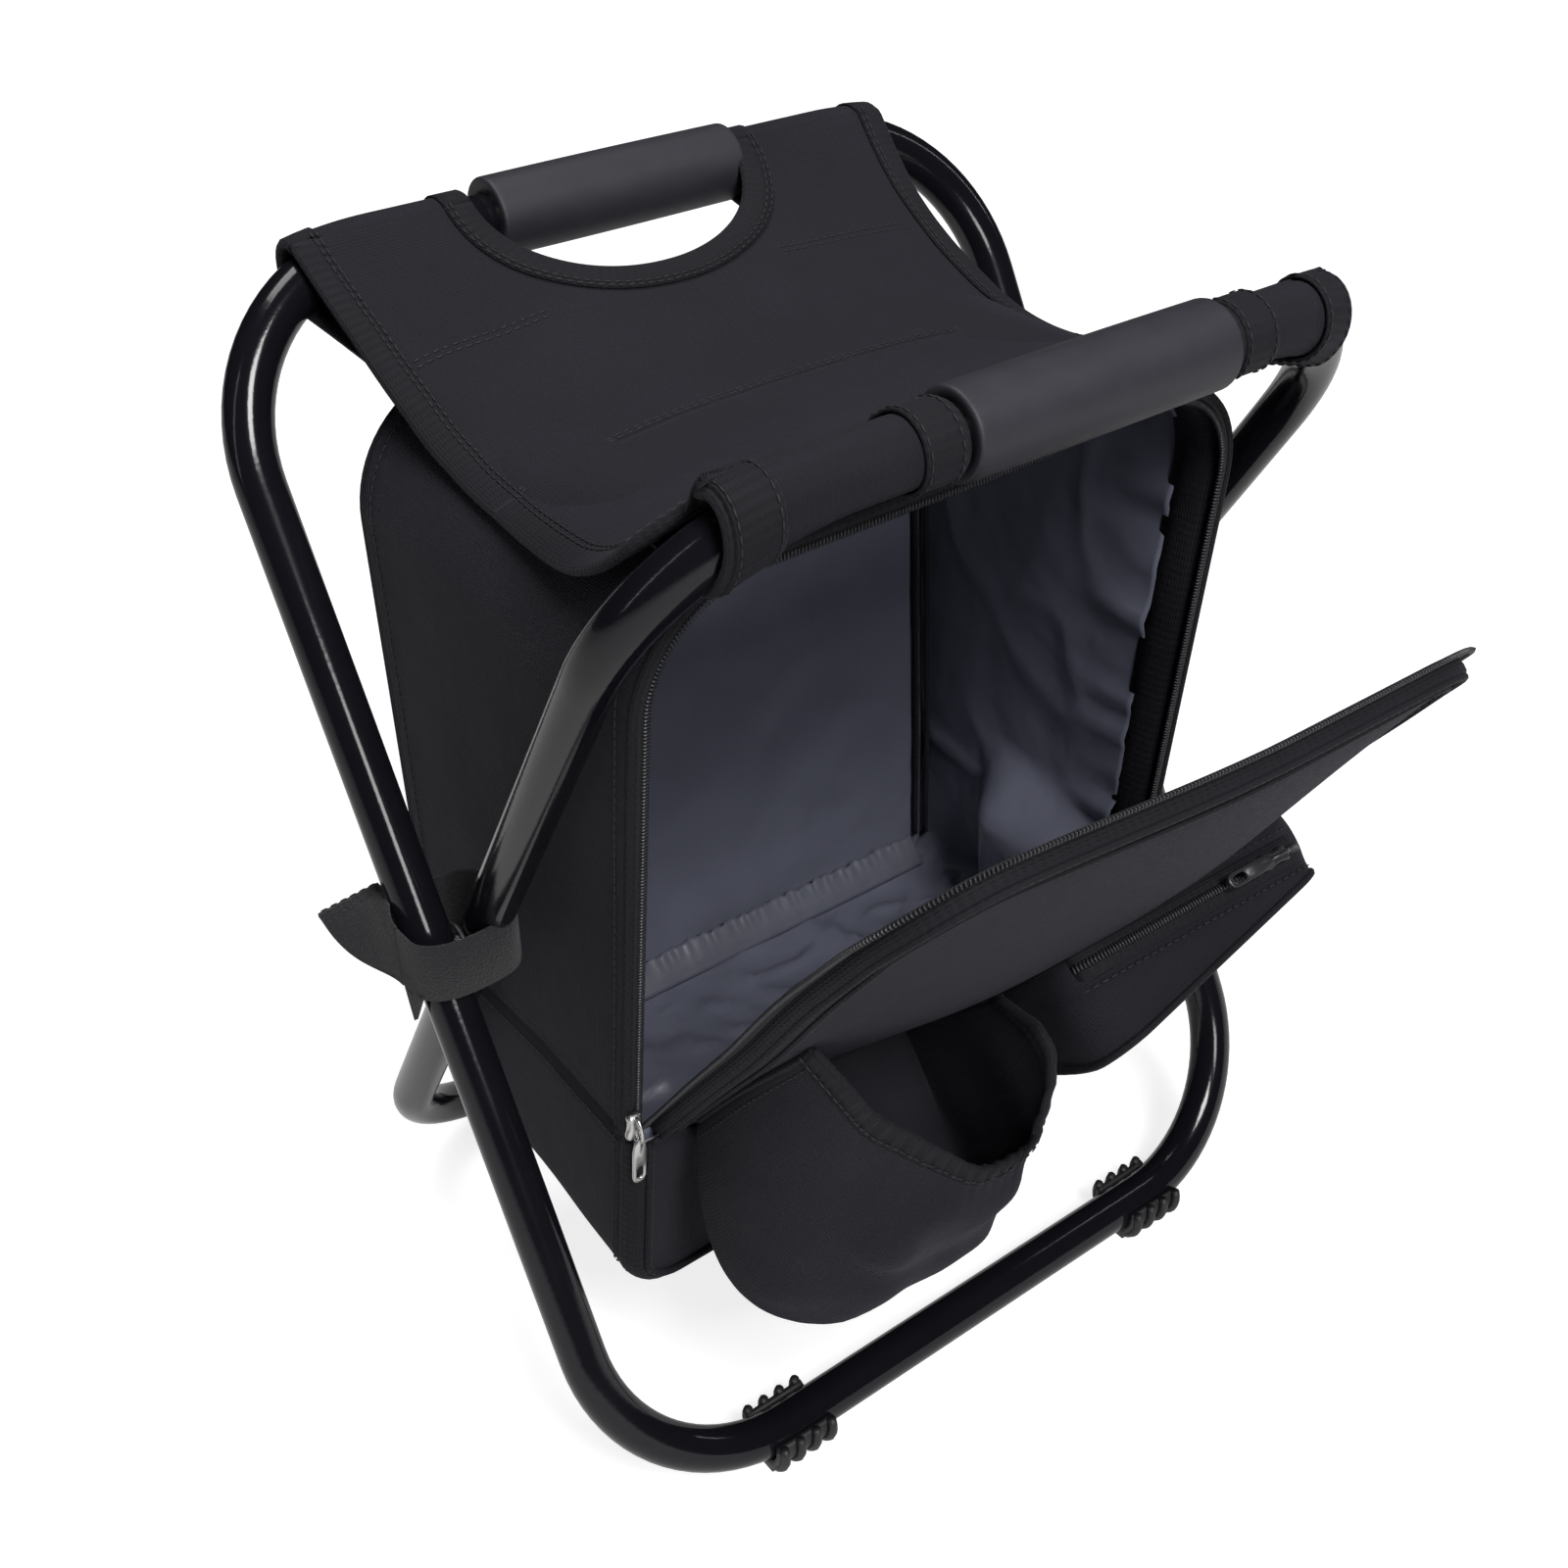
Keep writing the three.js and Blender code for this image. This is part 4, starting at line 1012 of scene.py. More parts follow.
def makeBagCloth():
    wall = gridPart(bagWall(0.0), wrapRows=True)
    piece = addLayer("bagGusset", "blackCloth", [wall], bag["cloth"], "bag", "black_cloth", "bag_gusset",
                     offset=-1)
    points, uv = backPanel(0.0, lambda flat, share: 0)
    back = gridPart(points, flip=True, uv=uv)
    piece = addLayer("bagBack", "blackCloth", [back], bag["cloth"], "bag", "black_cloth", "bag_back",
                     offset=-1)


def makeBagFoam():
    wall = gridPart(bagWall(bag["foamInset"], near=0.07), wrapRows=True)
    points, uv = backPanel(bag["foamInset"], lambda flat, share: 0)
    back = gridPart(points, flip=True, uv=uv)
    for word, part in (("Gusset", wall), ("Back", back)):
        node = "insulation_" + word.lower()
        piece = addLayer("foam" + word, "whiteFoam", [part], bag["foam"], "bag", "white_foam", node,
                         offset=-1)


lining = dict(cols=64, near=0.1, floorFold=0.010, wallFold=0.0034, edgePucker=0.0032, slump=0.024,
              binding=0.015, ruffle=0.00013, rufflePitch=0.0047, facing=0.0008, bindingWall=0.0009,
              cord=0.0013, cordGap=0.0045)


# The lining stands in from the foam in creases: deeper on the floor, puckered along the front edge,
# and slumped inward low on the right side
def liningFolds(depth):
    point = wallSpots(outline, depth)
    y, z = point[..., 1], point[..., 2]
    inside = np.sin(math.pi * np.clip(depth, 0.0, 1)) ** 0.5
    floor = smooth(-outward[:, None, 1], 0.2, 0.9)
    ridge = np.clip(1 - 1.6 * np.abs(roughness(point, 20, 11.0)), 0, 1) ** 3
    small = np.clip(1 - 1.8 * np.abs(roughness(point, 46, 18.0)), 0, 1) ** 3
    slack = 0.5 + 0.5 * roughness(point, 8, 12.0)
    fold = (lining["floorFold"] * floor + lining["wallFold"] * (1 - floor)) * (
        0.5 * ridge + (0.08 + 0.3 * floor) * small + 0.5 * slack)
    pleat = np.clip(roughness(point, 75, 13.0, (0.3, 0.1, 1)), 0, 1)
    pleat = pleat * bell(depth, lining["near"] + 0.04, 0.14)
    crease = 0.1608 + 0.167 * (y + 0.0208)
    slump = lining["slump"] * smooth(outward[:, None, 0], 0.1, 0.8) * smooth(crease - z, -0.001, 0.028)
    slump = slump * smooth(depth, 0.05, 0.25) * (1 - smooth(depth, 0.45, 0.68))
    return np.clip(fold * inside + lining["edgePucker"] * 2 * pleat + slump, 0, None)


def backWrinkle(flat, share):
    ridge = np.clip(1 - 1.5 * np.abs(roughness(flat, 12, 15.0)), 0, 1) ** 3
    small = np.clip(1 - 1.8 * np.abs(roughness(flat, 34, 19.0)), 0, 1) ** 3
    return share * (0.0035 * ridge + 0.0014 * small + 0.003 * (0.5 + 0.5 * roughness(flat, 7, 16.0)))


def makeLining():
    grid = bagWall(bag["liningInset"], liningFolds, near=lining["near"], cols=lining["cols"])
    wall = gridPart(grid, wrapRows=True)
    piece = addLayer("liningGusset", "greyLining", [wall], bag["lining"], "bag", "grey_lining",
                     "lining_gusset", offset=-1)
    points, uv = backPanel(bag["liningInset"], backWrinkle, 70)
    back = gridPart(points, flip=True, uv=uv)
    piece = addLayer("liningBack", "greyLining", [back], bag["lining"], "bag", "grey_lining", "lining_back",
                     offset=-1)


# A black facing behind the front rim, which the lining is sewn to
def makeFacing():
    sections = [(0.0014, 0.0), (0.0046, 0.012), (0.0066, 0.03), (0.0072, 0.07), (0.0071, 0.118)]
    rows = [bagWall(inset, near=depth, far=depth, cols=1)[:, 0] for inset, depth in sections]
    facing = gridPart(np.stack(rows, 1), wrapRows=True)
    addLayer("bagFacing", "bindingTape", [facing], lining["facing"], "bag", "black_cloth")


# Seams at the back of the lining: a ruffled binding along the floor and two cords up each side
def makeLiningSeams():
    x = np.linspace(-0.106, 0.108, 260)[:, None]
    share = np.linspace(0, 1, 11)[None, :]
    spots = stacked(x, x, x)
    wave = np.sin(2 * math.pi * x / lining["rufflePitch"] + 5 * roughness(spots, 75, 20.0))
    wave = lining["ruffle"] * (wave * smooth(share, 0.35, 1.0) + 2.2 * bell(share, 0.35, 0.12))
    base = bag["low"] + bag["liningInset"] + 0.006
    ragged = 0.1 * roughness(spots, 170, 22.0) + 0.06 * roughness(spots, 420, 23.0)
    reach = 0.7 * lining["binding"] * share * (1 + ragged * smooth(share, 0.5, 1.0))
    y = backY(base) - bag["liningInset"] - 0.016 + reach - 0.7 * wave
    z = base + reach + 0.7 * wave
    ruffle = gridPart(stacked(x, y, z))
    addLayer("liningBinding", "liningTape", [ruffle], lining["bindingWall"], "bag", "grey_lining")
    z = np.linspace(bag["low"] + 0.019, bag["high"] - 0.04, 60)
    cords = []
    for way in (-1, 1):
        for shift in (0.0, lining["cordGap"]):
            x = np.full(60, way * (bag["half"] - bag["liningInset"] - 0.004 - shift))
            path = settled(x, backY(z), z)
            path[:, 1] -= bag["liningInset"] + 0.0055 - 0.4 * shift
            path = path + 0.0005 * roughness(path, 90, 17.0)[:, None]
            cords.append(sweep(path, circle(lining["cord"], 7), (0, 1, 0)))
    carry(addPiece("liningSeam", "bindingTape", *cords), "bag", "black_cloth")


piping = dict(radius=0.0016, sides=8, inset=0.0012, out=0.0008, seamLift=0.0004, seamShift=0.0048)


def makePiping():
    section = circle(piping["radius"], piping["sides"])
    inset, out, lift = piping["inset"], piping["out"], piping["seamLift"]
    front = sweep(rimPath(inset, out), section, (0, 1, 0), closed=True)
    back = sweep(rimPath(inset, -out, back=True), section, (0, 1, 0), closed=True)
    carry(addPiece("bagPiping", "bindingTape", front, back), "bag", "black_cloth")
    # stitches beside both rims and along the seam across each side
    lines = []
    for depth in (0.04, 0.955):
        ring = bagWall(-lift, near=depth, far=depth, cols=1)[:, 0]
        lines.append((ring, (0, 1, 0)))
    depth = np.linspace(0.03, 0.97, 60)
    for way in (-1, 1):
        for shift in (-piping["seamShift"], piping["seamShift"]):
            spot, face = np.array([[way * bag["half"], bag["fold"] + shift]]), np.array([[way, 0.0]])
            x = spot[0, 0] + way * (wallPush(spot, face, depth[None, :])[0] + lift)
            z = np.full(60, spot[0, 1])
            line = settled(x, frontY(z) * (1 - depth) + backY(z) * depth, z)
            lines.append((line, (way, 0, 0)))
    carry(stitches("bagStitches", lines), "bag", "black_cloth")


zipper = dict(tape=0.0052, thickness=0.0009, out=0.0012)


def makeBagZip():
    keep = outline[:, 1] > bag["fold"] + 0.001
    insets = np.linspace(0.0008, zipper["tape"], 5)
    grid = np.stack([rimPath(inset, zipper["out"], keep=keep) for inset in insets], 1)
    addLayer("bagZip", "zipTape", [gridPart(grid)], zipper["thickness"], "bag", "black_zip", "bag_zip")
    line = rimPath(zipper["tape"], zipper["out"] + 0.0006, keep=keep)
    across = stacked(outward[keep, 0], np.zeros(keep.sum()), outward[keep, 1])
    carry(zipTeeth("bagCoil", line, across), "bag", "black_zip")


makeBagCloth()
makeBagFoam()
makeLining()
makeFacing()
makeLiningSeams()
makePiping()
makeBagZip()
print("bag made")


# Lower front and flap. Places on the front plane are (across, up from the fold, out).

plane = dict(half=0.1167, lowerHalf=0.1228, length=0.2165, corner=0.0337, zipHalf=0.1222,
             lean=bag["frontLean"], open=math.radians(31.7), rowStep=0.006, cols=44, crown=0.0165, gap=0.0011,
             foldReach=0.035, tuck=0.0023, edgeFade=0.03)
flapUp = np.array([0, -math.sin(plane["lean"] + plane["open"]), math.cos(plane["lean"] + plane["open"])])
flapOut = np.array([0, -flapUp[2], flapUp[1]])
lowUp = np.array([0, -math.sin(plane["lean"]), math.cos(plane["lean"])])
lowOut = np.array([0, -lowUp[2], lowUp[1]])
axisX = np.array([1.0, 0, 0])


def onPlane(x, up, out, ways=(flapUp, flapOut)):
    return hinge + x[..., None] * axisX + up[..., None] * ways[0] + out[..., None] * ways[1]


# The cloth rounds the fold instead of creasing there; the effect fades out towards the sides
def foldRound(x, up):
    near = np.clip(1 - np.abs(up) / plane["foldReach"], 0, 1) ** 2
    return near * smooth(plane["half"] - np.abs(x), 0.0, plane["edgeFade"])


foldHeight = plane["foldReach"] / 2 * math.tan(plane["open"] / 2)


# The flap's own curve: it is a little full, and its free corners curl
def flapWarp(x, up):
    share, across = up / plane["length"], x / plane["half"]
    belly = np.sin(math.pi * np.clip(share, 0, 1))
    full = plane["crown"] * (1 - across ** 2) * belly
    slack = 0.0016 * roughness(stacked(x, up, 0 * x), 15, 21.0) * belly
    left = -0.006 * smooth(-across, -0.2, 1.0) * smooth(share, 0.0, 0.9)
    return full + slack + left + foldHeight * foldRound(x, up)


def flapPoint(x, up, out):
    x, up, out = np.broadcast_arrays(np.asarray(x, float), np.asarray(up, float), np.asarray(out, float))
    place = up + plane["tuck"] * foldRound(x, up)
    return onPlane(x, place, out + flapWarp(x, up))


# Layers of the front: word, look, slot, node, how far out, thickness, inset
layers = [("Panel", "blackCloth", "black_cloth", "panel", 0.0, 0.0012, 0.0),
          ("Foam", "whiteFoam", "white_foam", "insulation", -0.0015, 0.004, 0.0015),
          ("Lining", "greyLining", "grey_lining", "lining", -0.0058, 0.0008, 0.0)]


def makeLower():
    bottom = -(bag["fold"] - bag["low"]) / math.cos(plane["lean"]) + zipper["tape"]
    for word, look, slot, node, out, thickness, inset in layers:
        half, low = plane["lowerHalf"] - inset, bottom + inset
        radius = bag["lowRadius"] - zipper["tape"] - inset
        x, up = panelGrid(half, low, -plane["gap"] - 3 * inset, radius, 0, 34, plane["rowStep"])
        share = smooth(rimShare(x, up, half, low, 1), 0, 1)
        flat = stacked(x, up, 0 * x)
        near = foldRound(x, up)
        outs = out + foldHeight * near + share * (0.002 + 0.0015 * roughness(flat, 16, 23.0))
        points = onPlane(x, up - plane["tuck"] * near, outs, (lowUp, lowOut))
        points = settled(points[..., 0], points[..., 1], points[..., 2])
        part = gridPart(points, uv=flat[..., :2])
        piece = addLayer("lower" + word, look, [part], thickness, "bag", slot, "lower_" + node, offset=-1)
    # a band from the gusset's edge to the panel's, with piping along it
    below = np.flatnonzero(outline[:, 1] < bag["fold"])
    cut = np.flatnonzero(np.diff(below) > 1)[0] + 1
    keep = np.concatenate([below[cut:], below[:cut]])
    sections = [(0.0, -0.001), (0.0004, 0.003), (0.0016, 0.0056), (0.0042, 0.007), (0.0066, 0.0066)]
    grid = np.stack([rimPath(inset, out, keep=keep) for inset, out in sections], 1)
    addLayer("lowerBand", "bindingTape", [gridPart(grid)], 0.0007, "bag", "black_cloth")
    cord = sweep(rimPath(0.0064, 0.0078, keep=keep), circle(0.0015, 8), (0, 1, 0))
    carry(addPiece("lowerPiping", "bindingTape", cord), "bag", "black_cloth")


def archPath(half, length, radius, steps=16, low=0.001, sideStep=0.006):
    turn = np.linspace(0, math.pi / 2, steps)
    side = np.linspace(low, length - radius, int((length - radius) / sideStep))
    left = stacked(np.full(len(side), -half), side)
    cornerL = stacked(radius - half - radius * np.cos(turn), length - radius + radius * np.sin(turn))
    top = np.linspace(radius - half, half - radius, int(2 * (half - radius) / sideStep))
    across = stacked(top, np.full(len(top), length))
    path = np.concatenate([left, cornerL[1:], across[1:-1]])
    mirror = np.concatenate([left, cornerL[1:]])[::-1] * np.array([-1, 1])
    return np.concatenate([path, mirror])


def archNormal(path):
    ahead = unit(np.gradient(path, axis=0))
    return stacked(-ahead[:, 1], ahead[:, 0])


def makeFlap():
    for word, look, slot, node, out, thickness, inset in layers:
        half, length = plane["half"] - inset, plane["length"] - inset
        low = plane["gap"] + 3 * inset
        x, up = panelGrid(half, low, length, 0, plane["corner"] - inset, plane["cols"], plane["rowStep"])
        flat = stacked(x, up, 0 * x)
        outs = np.full(x.shape, out)
        if word == "Lining":
            share = smooth(rimShare(x, up, half, 0, length), 0, 1)
            outs = outs - share * 0.003 * (0.5 + 0.5 * roughness(flat, 12, 25.0))
        part = gridPart(flapPoint(x, up, outs), uv=flat[..., :2])
        piece = addLayer("flap" + word, look, [part], thickness, "flap", slot, "flap_" + node, offset=-1)


# The flap's edge: a band that closes the layers, two rows of piping, then the zip's tape and teeth
def makeFlapEdge():
    path = archPath(plane["half"], plane["length"], plane["corner"])
    away = archNormal(path)
    sections = np.array([(0.0003, -0.0066), (0.0011, -0.005), (0.0013, -0.003), (0.0011, -0.0012),
                         (0.0002, 0.0001)])
    spots = path[:, None] + away[:, None] * sections[None, :, :1]
    band = flapPoint(spots[..., 0], spots[..., 1], sections[None, :, 1])
    addLayer("flapBand", "bindingTape", [gridPart(band)], 0.0006, "flap", "black_cloth")
    cords = []
    for inset, out, radius in ((0.0004, 0.0003, 0.0014), (0.0062, 0.0004, 0.0011)):
        line = path - away * inset
        cords.append(sweep(flapPoint(line[:, 0], line[:, 1], out), circle(radius, 8), flapOut))
    carry(addPiece("flapPiping", "bindingTape", *cords), "flap", "black_cloth")
    reach = plane["zipHalf"] - plane["half"]
    widths = np.linspace(0.0002, reach, 5)
    spots = path[:, None] + away[:, None] * widths[None, :, None]
    tape = gridPart(flapPoint(spots[..., 0], spots[..., 1], -0.0058))
    addLayer("flapZip", "zipTape", [tape], zipper["thickness"], "flap", "black_zip", "flap_zip")
    line = path + away * reach
    across = away[:, :1] * axisX + away[:, 1:] * flapUp
    teeth = zipTeeth("flapCoil", flapPoint(line[:, 0], line[:, 1], -0.0052), across)
    carry(teeth, "flap", "black_zip")
    seam = path - away * 0.0085
    lines = [(flapPoint(seam[:, 0], seam[:, 1], 0.0003), flapOut)]
    carry(stitches("flapStitches", lines), "flap", "black_cloth")


makeLower()
makeFlap()
makeFlapEdge()
print("flap made")


# Bottle pocket: a slack pouch, open at the top. Its rings run from the mouth down the front, under the
# base and back to the flap; each is (across, up, out) from the left seam round to the right one.

bottle = dict(cols=80, rows=54, cloth=0.0012, gathers=24, gather=0.0006, start=0.0004)
bottleRings = np.array([
    [(-0.101, 0.102, 0.001), (-0.092, 0.094, 0.017), (-0.082, 0.081, 0.029), (-0.070, 0.073, 0.040),
     (-0.058, 0.065, 0.051), (-0.044, 0.056, 0.0615), (-0.030, 0.056, 0.064), (-0.0235, 0.068, 0.0585),
     (-0.0205, 0.093, 0.037), (-0.017, 0.076, 0.0005)],
    [(-0.106, 0.058, 0.001), (-0.110, 0.050, 0.026), (-0.105, 0.042, 0.046), (-0.095, 0.037, 0.060),
     (-0.080, 0.034, 0.071), (-0.060, 0.032, 0.078), (-0.040, 0.032, 0.080), (-0.026, 0.036, 0.074),
     (-0.0185, 0.046, 0.046), (-0.017, 0.046, 0.0005)],
    [(-0.106, 0.012, 0.001), (-0.115, 0.001, 0.030), (-0.1165, -0.005, 0.054), (-0.110, -0.0075, 0.070),
     (-0.097, -0.007, 0.080), (-0.074, -0.005, 0.0845), (-0.046, -0.002, 0.0845), (-0.028, 0.003, 0.080),
     (-0.0185, 0.008, 0.050), (-0.017, 0.012, 0.0005)],
    [(-0.105, 0.010, 0.001), (-0.109, 0.001, 0.015), (-0.108, -0.003, 0.027), (-0.101, -0.004, 0.035),
     (-0.090, -0.004, 0.040), (-0.072, -0.003, 0.042), (-0.047, -0.001, 0.042), (-0.030, 0.002, 0.040),
     (-0.020, 0.006, 0.025), (-0.0175, 0.010, 0.002)],
    [(-0.104, 0.008, 0.0), (-0.098, 0.007, 0.0), (-0.090, 0.006, 0.0), (-0.080, 0.006, 0.0),
     (-0.070, 0.006, 0.0), (-0.060, 0.006, 0.0), (-0.048, 0.006, 0.0), (-0.036, 0.006, 0.0),
     (-0.026, 0.007, 0.0), (-0.018, 0.008, 0.0)],
])


# A smooth curve through each row of knots, at the share t of its length
def splineAt(knots, t):
    count = knots.shape[1] - 1
    place = np.clip(t, 0, 1) * count
    first = np.minimum(place.astype(int), count - 1)
    f = (place - first)[:, None]
    ends = [2 * knots[:, :1] - knots[:, 1:2], knots, 2 * knots[:, -1:] - knots[:, -2:-1]]
    padded = np.concatenate(ends, 1)
    a, b, c, d = (padded[np.arange(len(t)), first + k] for k in range(4))
    return b + 0.5 * f * (c - a + f * (2 * a - 5 * b + 4 * c - d + f * (3 * (b - c) + d - a)))


def bottleBase(a, p):
    a, p = np.broadcast_arrays(np.asarray(a, float), np.asarray(p, float))
    rings, places = bottleRings.shape[:2]
    knots = bottleRings.transpose(1, 0, 2).reshape(1, places, -1)
    across = splineAt(np.broadcast_to(knots, (a.size, places, 3 * rings)), a.ravel()).reshape(-1, rings, 3)
    x, up, out = splineAt(across, p.ravel()).T
    cling = np.clip(1.05 - out / 0.03, 0, 1)
    out = np.maximum(out, 0) + bottle["start"] + cling * flapWarp(x, np.clip(up, 0, 0.2))
    return onPlane(x, up, out).reshape(*a.shape, 3)


def bottlePoint(a, p, lift=0.0):
    a, p = np.broadcast_arrays(np.asarray(a, float), np.asarray(p, float))
    base, step = bottleBase(a, p), 0.004
    along = bottleBase(np.minimum(a + step, 1), p) - bottleBase(np.maximum(a - step, 0), p)
    down = bottleBase(a, np.minimum(p + step, 1)) - bottleBase(a, np.maximum(p - step, 0))
    away = unit(np.cross(down, along))
    full = np.sin(math.pi * a) ** 0.7
    slack = 0.0042 * roughness(base, 21, 31.0) + 0.0036 * roughness(base, 46, 33.0, (1, 0.6, 1))
    slack = slack - 0.0022 * bell(p - 0.2 - 0.22 * a, 0, 0.03) * bell(a, 0.45, 0.28)
    slack = slack + 0.0018 * bell(p - 0.12 - 0.3 * (a - 0.5), 0, 0.05) * bell(a, 0.6, 0.2)
    slack = slack * smooth(p, -0.02, 0.12) * (1 - smooth(p, 0.42, 0.62))
    pucker = np.sin(2 * math.pi * bottle["gathers"] * a + 2.5 * roughness(base, 40, 35.0))
    slack = slack + bottle["gather"] * pucker * np.exp(-p / 0.06)
    return base + away * (slack * full + lift)[..., None]


def makeBottlePocket():
    a = np.linspace(0, 1, bottle["cols"])[None, :]
    p = np.linspace(0, 1, bottle["rows"])[:, None]
    cloth = gridPart(bottlePoint(a, p), flip=True)
    piece = addLayer("bottlePocket", "blackCloth", [cloth], bottle["cloth"], "flap", "black_cloth",
                     "bottle_pocket")
    # the hem round the mouth, its stitches, and a cord down each seam
    a = np.linspace(0.0, 1.0, 100)
    hem = np.stack([bottlePoint(a, 0.04, 0.001), bottlePoint(a, 0.0, 0.0014),
                    bottlePoint(a, 0.0, 0.0) + 0.0012 * flapUp, bottlePoint(a, 0.0, -0.0014),
                    bottlePoint(a, 0.04, -0.001)], 1)
    addLayer("bottleHem", "bindingTape", [gridPart(hem)], 0.0006, "flap", "black_cloth")
    p = np.linspace(0.0, 0.5, 40)
    lines = [(bottlePoint(a, 0.034, 0.0017), flapOut), (bottlePoint(0.02, p, 0.0009), flapOut)]
    carry(stitches("bottleStitches", lines), "flap", "black_cloth")
    cords = [sweep(bottlePoint(end, p, 0.0003), circle(0.0012, 8), flapOut) for end in (0.0, 1.0)]
    carry(addPiece("bottlePiping", "bindingTape", *cords), "flap", "black_cloth")


makeBottlePocket()


# Zip pocket: a flat pouch with its zip along the top

pouchLow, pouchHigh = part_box("zip_pocket")
pouch = dict(left=pouchLow.x - 0.011, right=pouchHigh.x, low=0.008, high=0.112, radius=0.016, cloth=0.0012,
             start=0.0003, track=0.0204, tape=0.0052, dip=0.0012, lipLeft=0.05, lipRight=0.029, base=0.036,
             full=0.006, cornerSteps=8, step=0.005)


def pouchOutline(inset):
    left, right = pouch["left"] + inset, pouch["right"] - inset
    low, high = pouch["low"] + inset, pouch["high"] - inset
    r, steps = pouch["radius"] - inset, pouch["cornerSteps"]
    corners = [(right, low, r, -0.5, steps), (right, high, r, 0, steps), (left, high, r, 0.5, steps),
               (left, low, r, 1, steps)]
    return roundedBox(corners, pouch["step"])


pouchLine, pouchAway = pouchOutline(0.0)


# How far the pocket's front stands out from the flap's plane: most at the left of the zip
def lipAt(x, up):
    across = (x - pouch["left"]) / (pouch["right"] - pouch["left"])
    top = pouch["lipLeft"] + (pouch["lipRight"] - pouch["lipLeft"]) * across
    return pouch["base"] + (top - pouch["base"]) * smooth(up, 0.03, 0.1)


# share is 0 at the flap and 1 at the front
def pouchSpot(x, up, share, extra=0.0):
    x, up, share, extra = np.broadcast_arrays(*(np.asarray(part, float) for part in (x, up, share, extra)))
    out = flapWarp(x, up) * (1 - share) + lipAt(x, up) * share + extra
    return onPlane(x, up, out + pouch["start"])


def makeZipPocket():
    share = np.linspace(0, 1, 17)[None, :]
    x, up = pouchLine[:, None, 0], pouchLine[:, None, 1]
    top = smooth(pouchAway[:, 1], 0.4, 0.95)[:, None]
    out = flapWarp(x, up) * (1 - share) + lipAt(x, up) * share
    flat = stacked(x, up, out)
    slack = (0.0022 * np.sin(math.pi * share) + 0.0016 * roughness(flat, 36, 41.0)) * (1 - top)
    sunk = pouch["dip"] * top * smooth(pouch["tape"] + 0.004 - np.abs(out - pouch["track"]), 0, 0.004)
    spots = pouchLine[:, None] + pouchAway[:, None] * (slack - sunk)[..., None]
    wall = gridPart(pouchSpot(spots[..., 0], spots[..., 1], share), wrapRows=True, flip=True)
    middle = (pouch["left"] + pouch["right"]) / 2
    half, r = (pouch["right"] - pouch["left"]) / 2, pouch["radius"]
    x, up = panelGrid(half, pouch["low"], pouch["high"], r, r, 34, 0.005)
    inside = smooth(rimShare(x, up, half, pouch["low"], pouch["high"]), 0, 1)
    flat = stacked(x, up, 0 * x)
    hang = inside * (pouch["full"] + 0.003 * roughness(flat, 24, 43.0))
    front = gridPart(pouchSpot(x + middle, up, 1.0, hang), uv=flat[..., :2])
    piece = addLayer("zipPocket", "blackCloth", [wall, front], pouch["cloth"], "flap", "black_cloth",
                     "zip_pocket", offset=-1)
    cords = []
    for end, inset, radius in ((0.0, 0.0016, 0.001), (1.0, 0.0, 0.0013)):
        line = pouchOutline(inset)[0]
        path = pouchSpot(line[:, 0], line[:, 1], end, 0.0005)
        cords.append(sweep(path, circle(radius, 8), flapOut, closed=True))
    carry(addPiece("pocketPiping", "bindingTape", *cords), "flap", "black_cloth")


# Its zip: a straight tape in the sunk top side, with the teeth along its middle
def makePocketZip():
    middle = (pouch["left"] + pouch["right"]) / 2
    half, r = (pouch["right"] - pouch["left"]) / 2, pouch["radius"]
    x = np.linspace(pouch["left"] + 0.004, pouch["right"] - 0.004, 40)
    bend = np.clip(np.abs(x - middle) - half + r, 0, r)
    edge = pouch["high"] - r + np.sqrt(r ** 2 - bend ** 2) - pouch["dip"]
    outs = pouch["track"] + pouch["tape"] * np.linspace(-1.15, 1.15, 9)
    rise = np.array([-0.0008, 0.0004, 0.0006, 0.0008, 0.0012, 0.0008, 0.0006, 0.0004, -0.0008])
    spots = np.broadcast_arrays(x[:, None], edge[:, None] + rise[None, :], outs[None, :])
    tape = gridPart(onPlane(*spots))
    addLayer("pocketZip", "bindingTape", [tape], 0.0008, "flap", "black_zip", "pocket_zip")
    line = onPlane(x, edge + 0.0018, np.full(len(x), pouch["track"]))
    teeth = zipTeeth("pocketCoil", line, np.broadcast_to(flapOut, line.shape))
    carry(teeth, "flap", "black_zip")
    lines = []
    for way in (-1, 1):
        out = np.full(len(x), pouch["track"] + way * (pouch["tape"] + 0.0025))
        lines.append((onPlane(x, edge + pouch["dip"] + 0.0004, out), flapUp))
    carry(stitches("pocketStitches", lines), "flap", "black_cloth")


makeZipPocket()
makePocketZip()
print("pockets made")


# Zip sliders: a waisted body, a wire bail over it, and a pull tab with an oblong hole near its end

slider = dict(half=0.0032, length=0.012, height=0.0036, pinPlace=0.004, pinHeight=0.0055, wire=0.0007,
              eye=0.0017, skin=0.0007, bevel=0.0003, holeAt=-0.0186, holeHalf=0.0014, holeReach=0.0016)
tabShape = ([-0.024, -0.0237, -0.023, -0.022, -0.0208, -0.007, -0.004, -0.0012],
            [0.0, 0.0012, 0.0021, 0.0025, 0.0027, 0.0026, 0.0022, 0.0014])


# How far a ray from the hole's middle runs before it leaves the tab, or the hole
def tabReach(turn, inside):
    low, high = np.zeros(len(turn)), np.full(len(turn), 0.03)
    for _ in range(40):
        middle = (low + high) / 2
        within = inside(middle * np.sin(turn), slider["holeAt"] + middle * np.cos(turn))
        low, high = np.where(within, middle, low), np.where(within, high, middle)
    return low


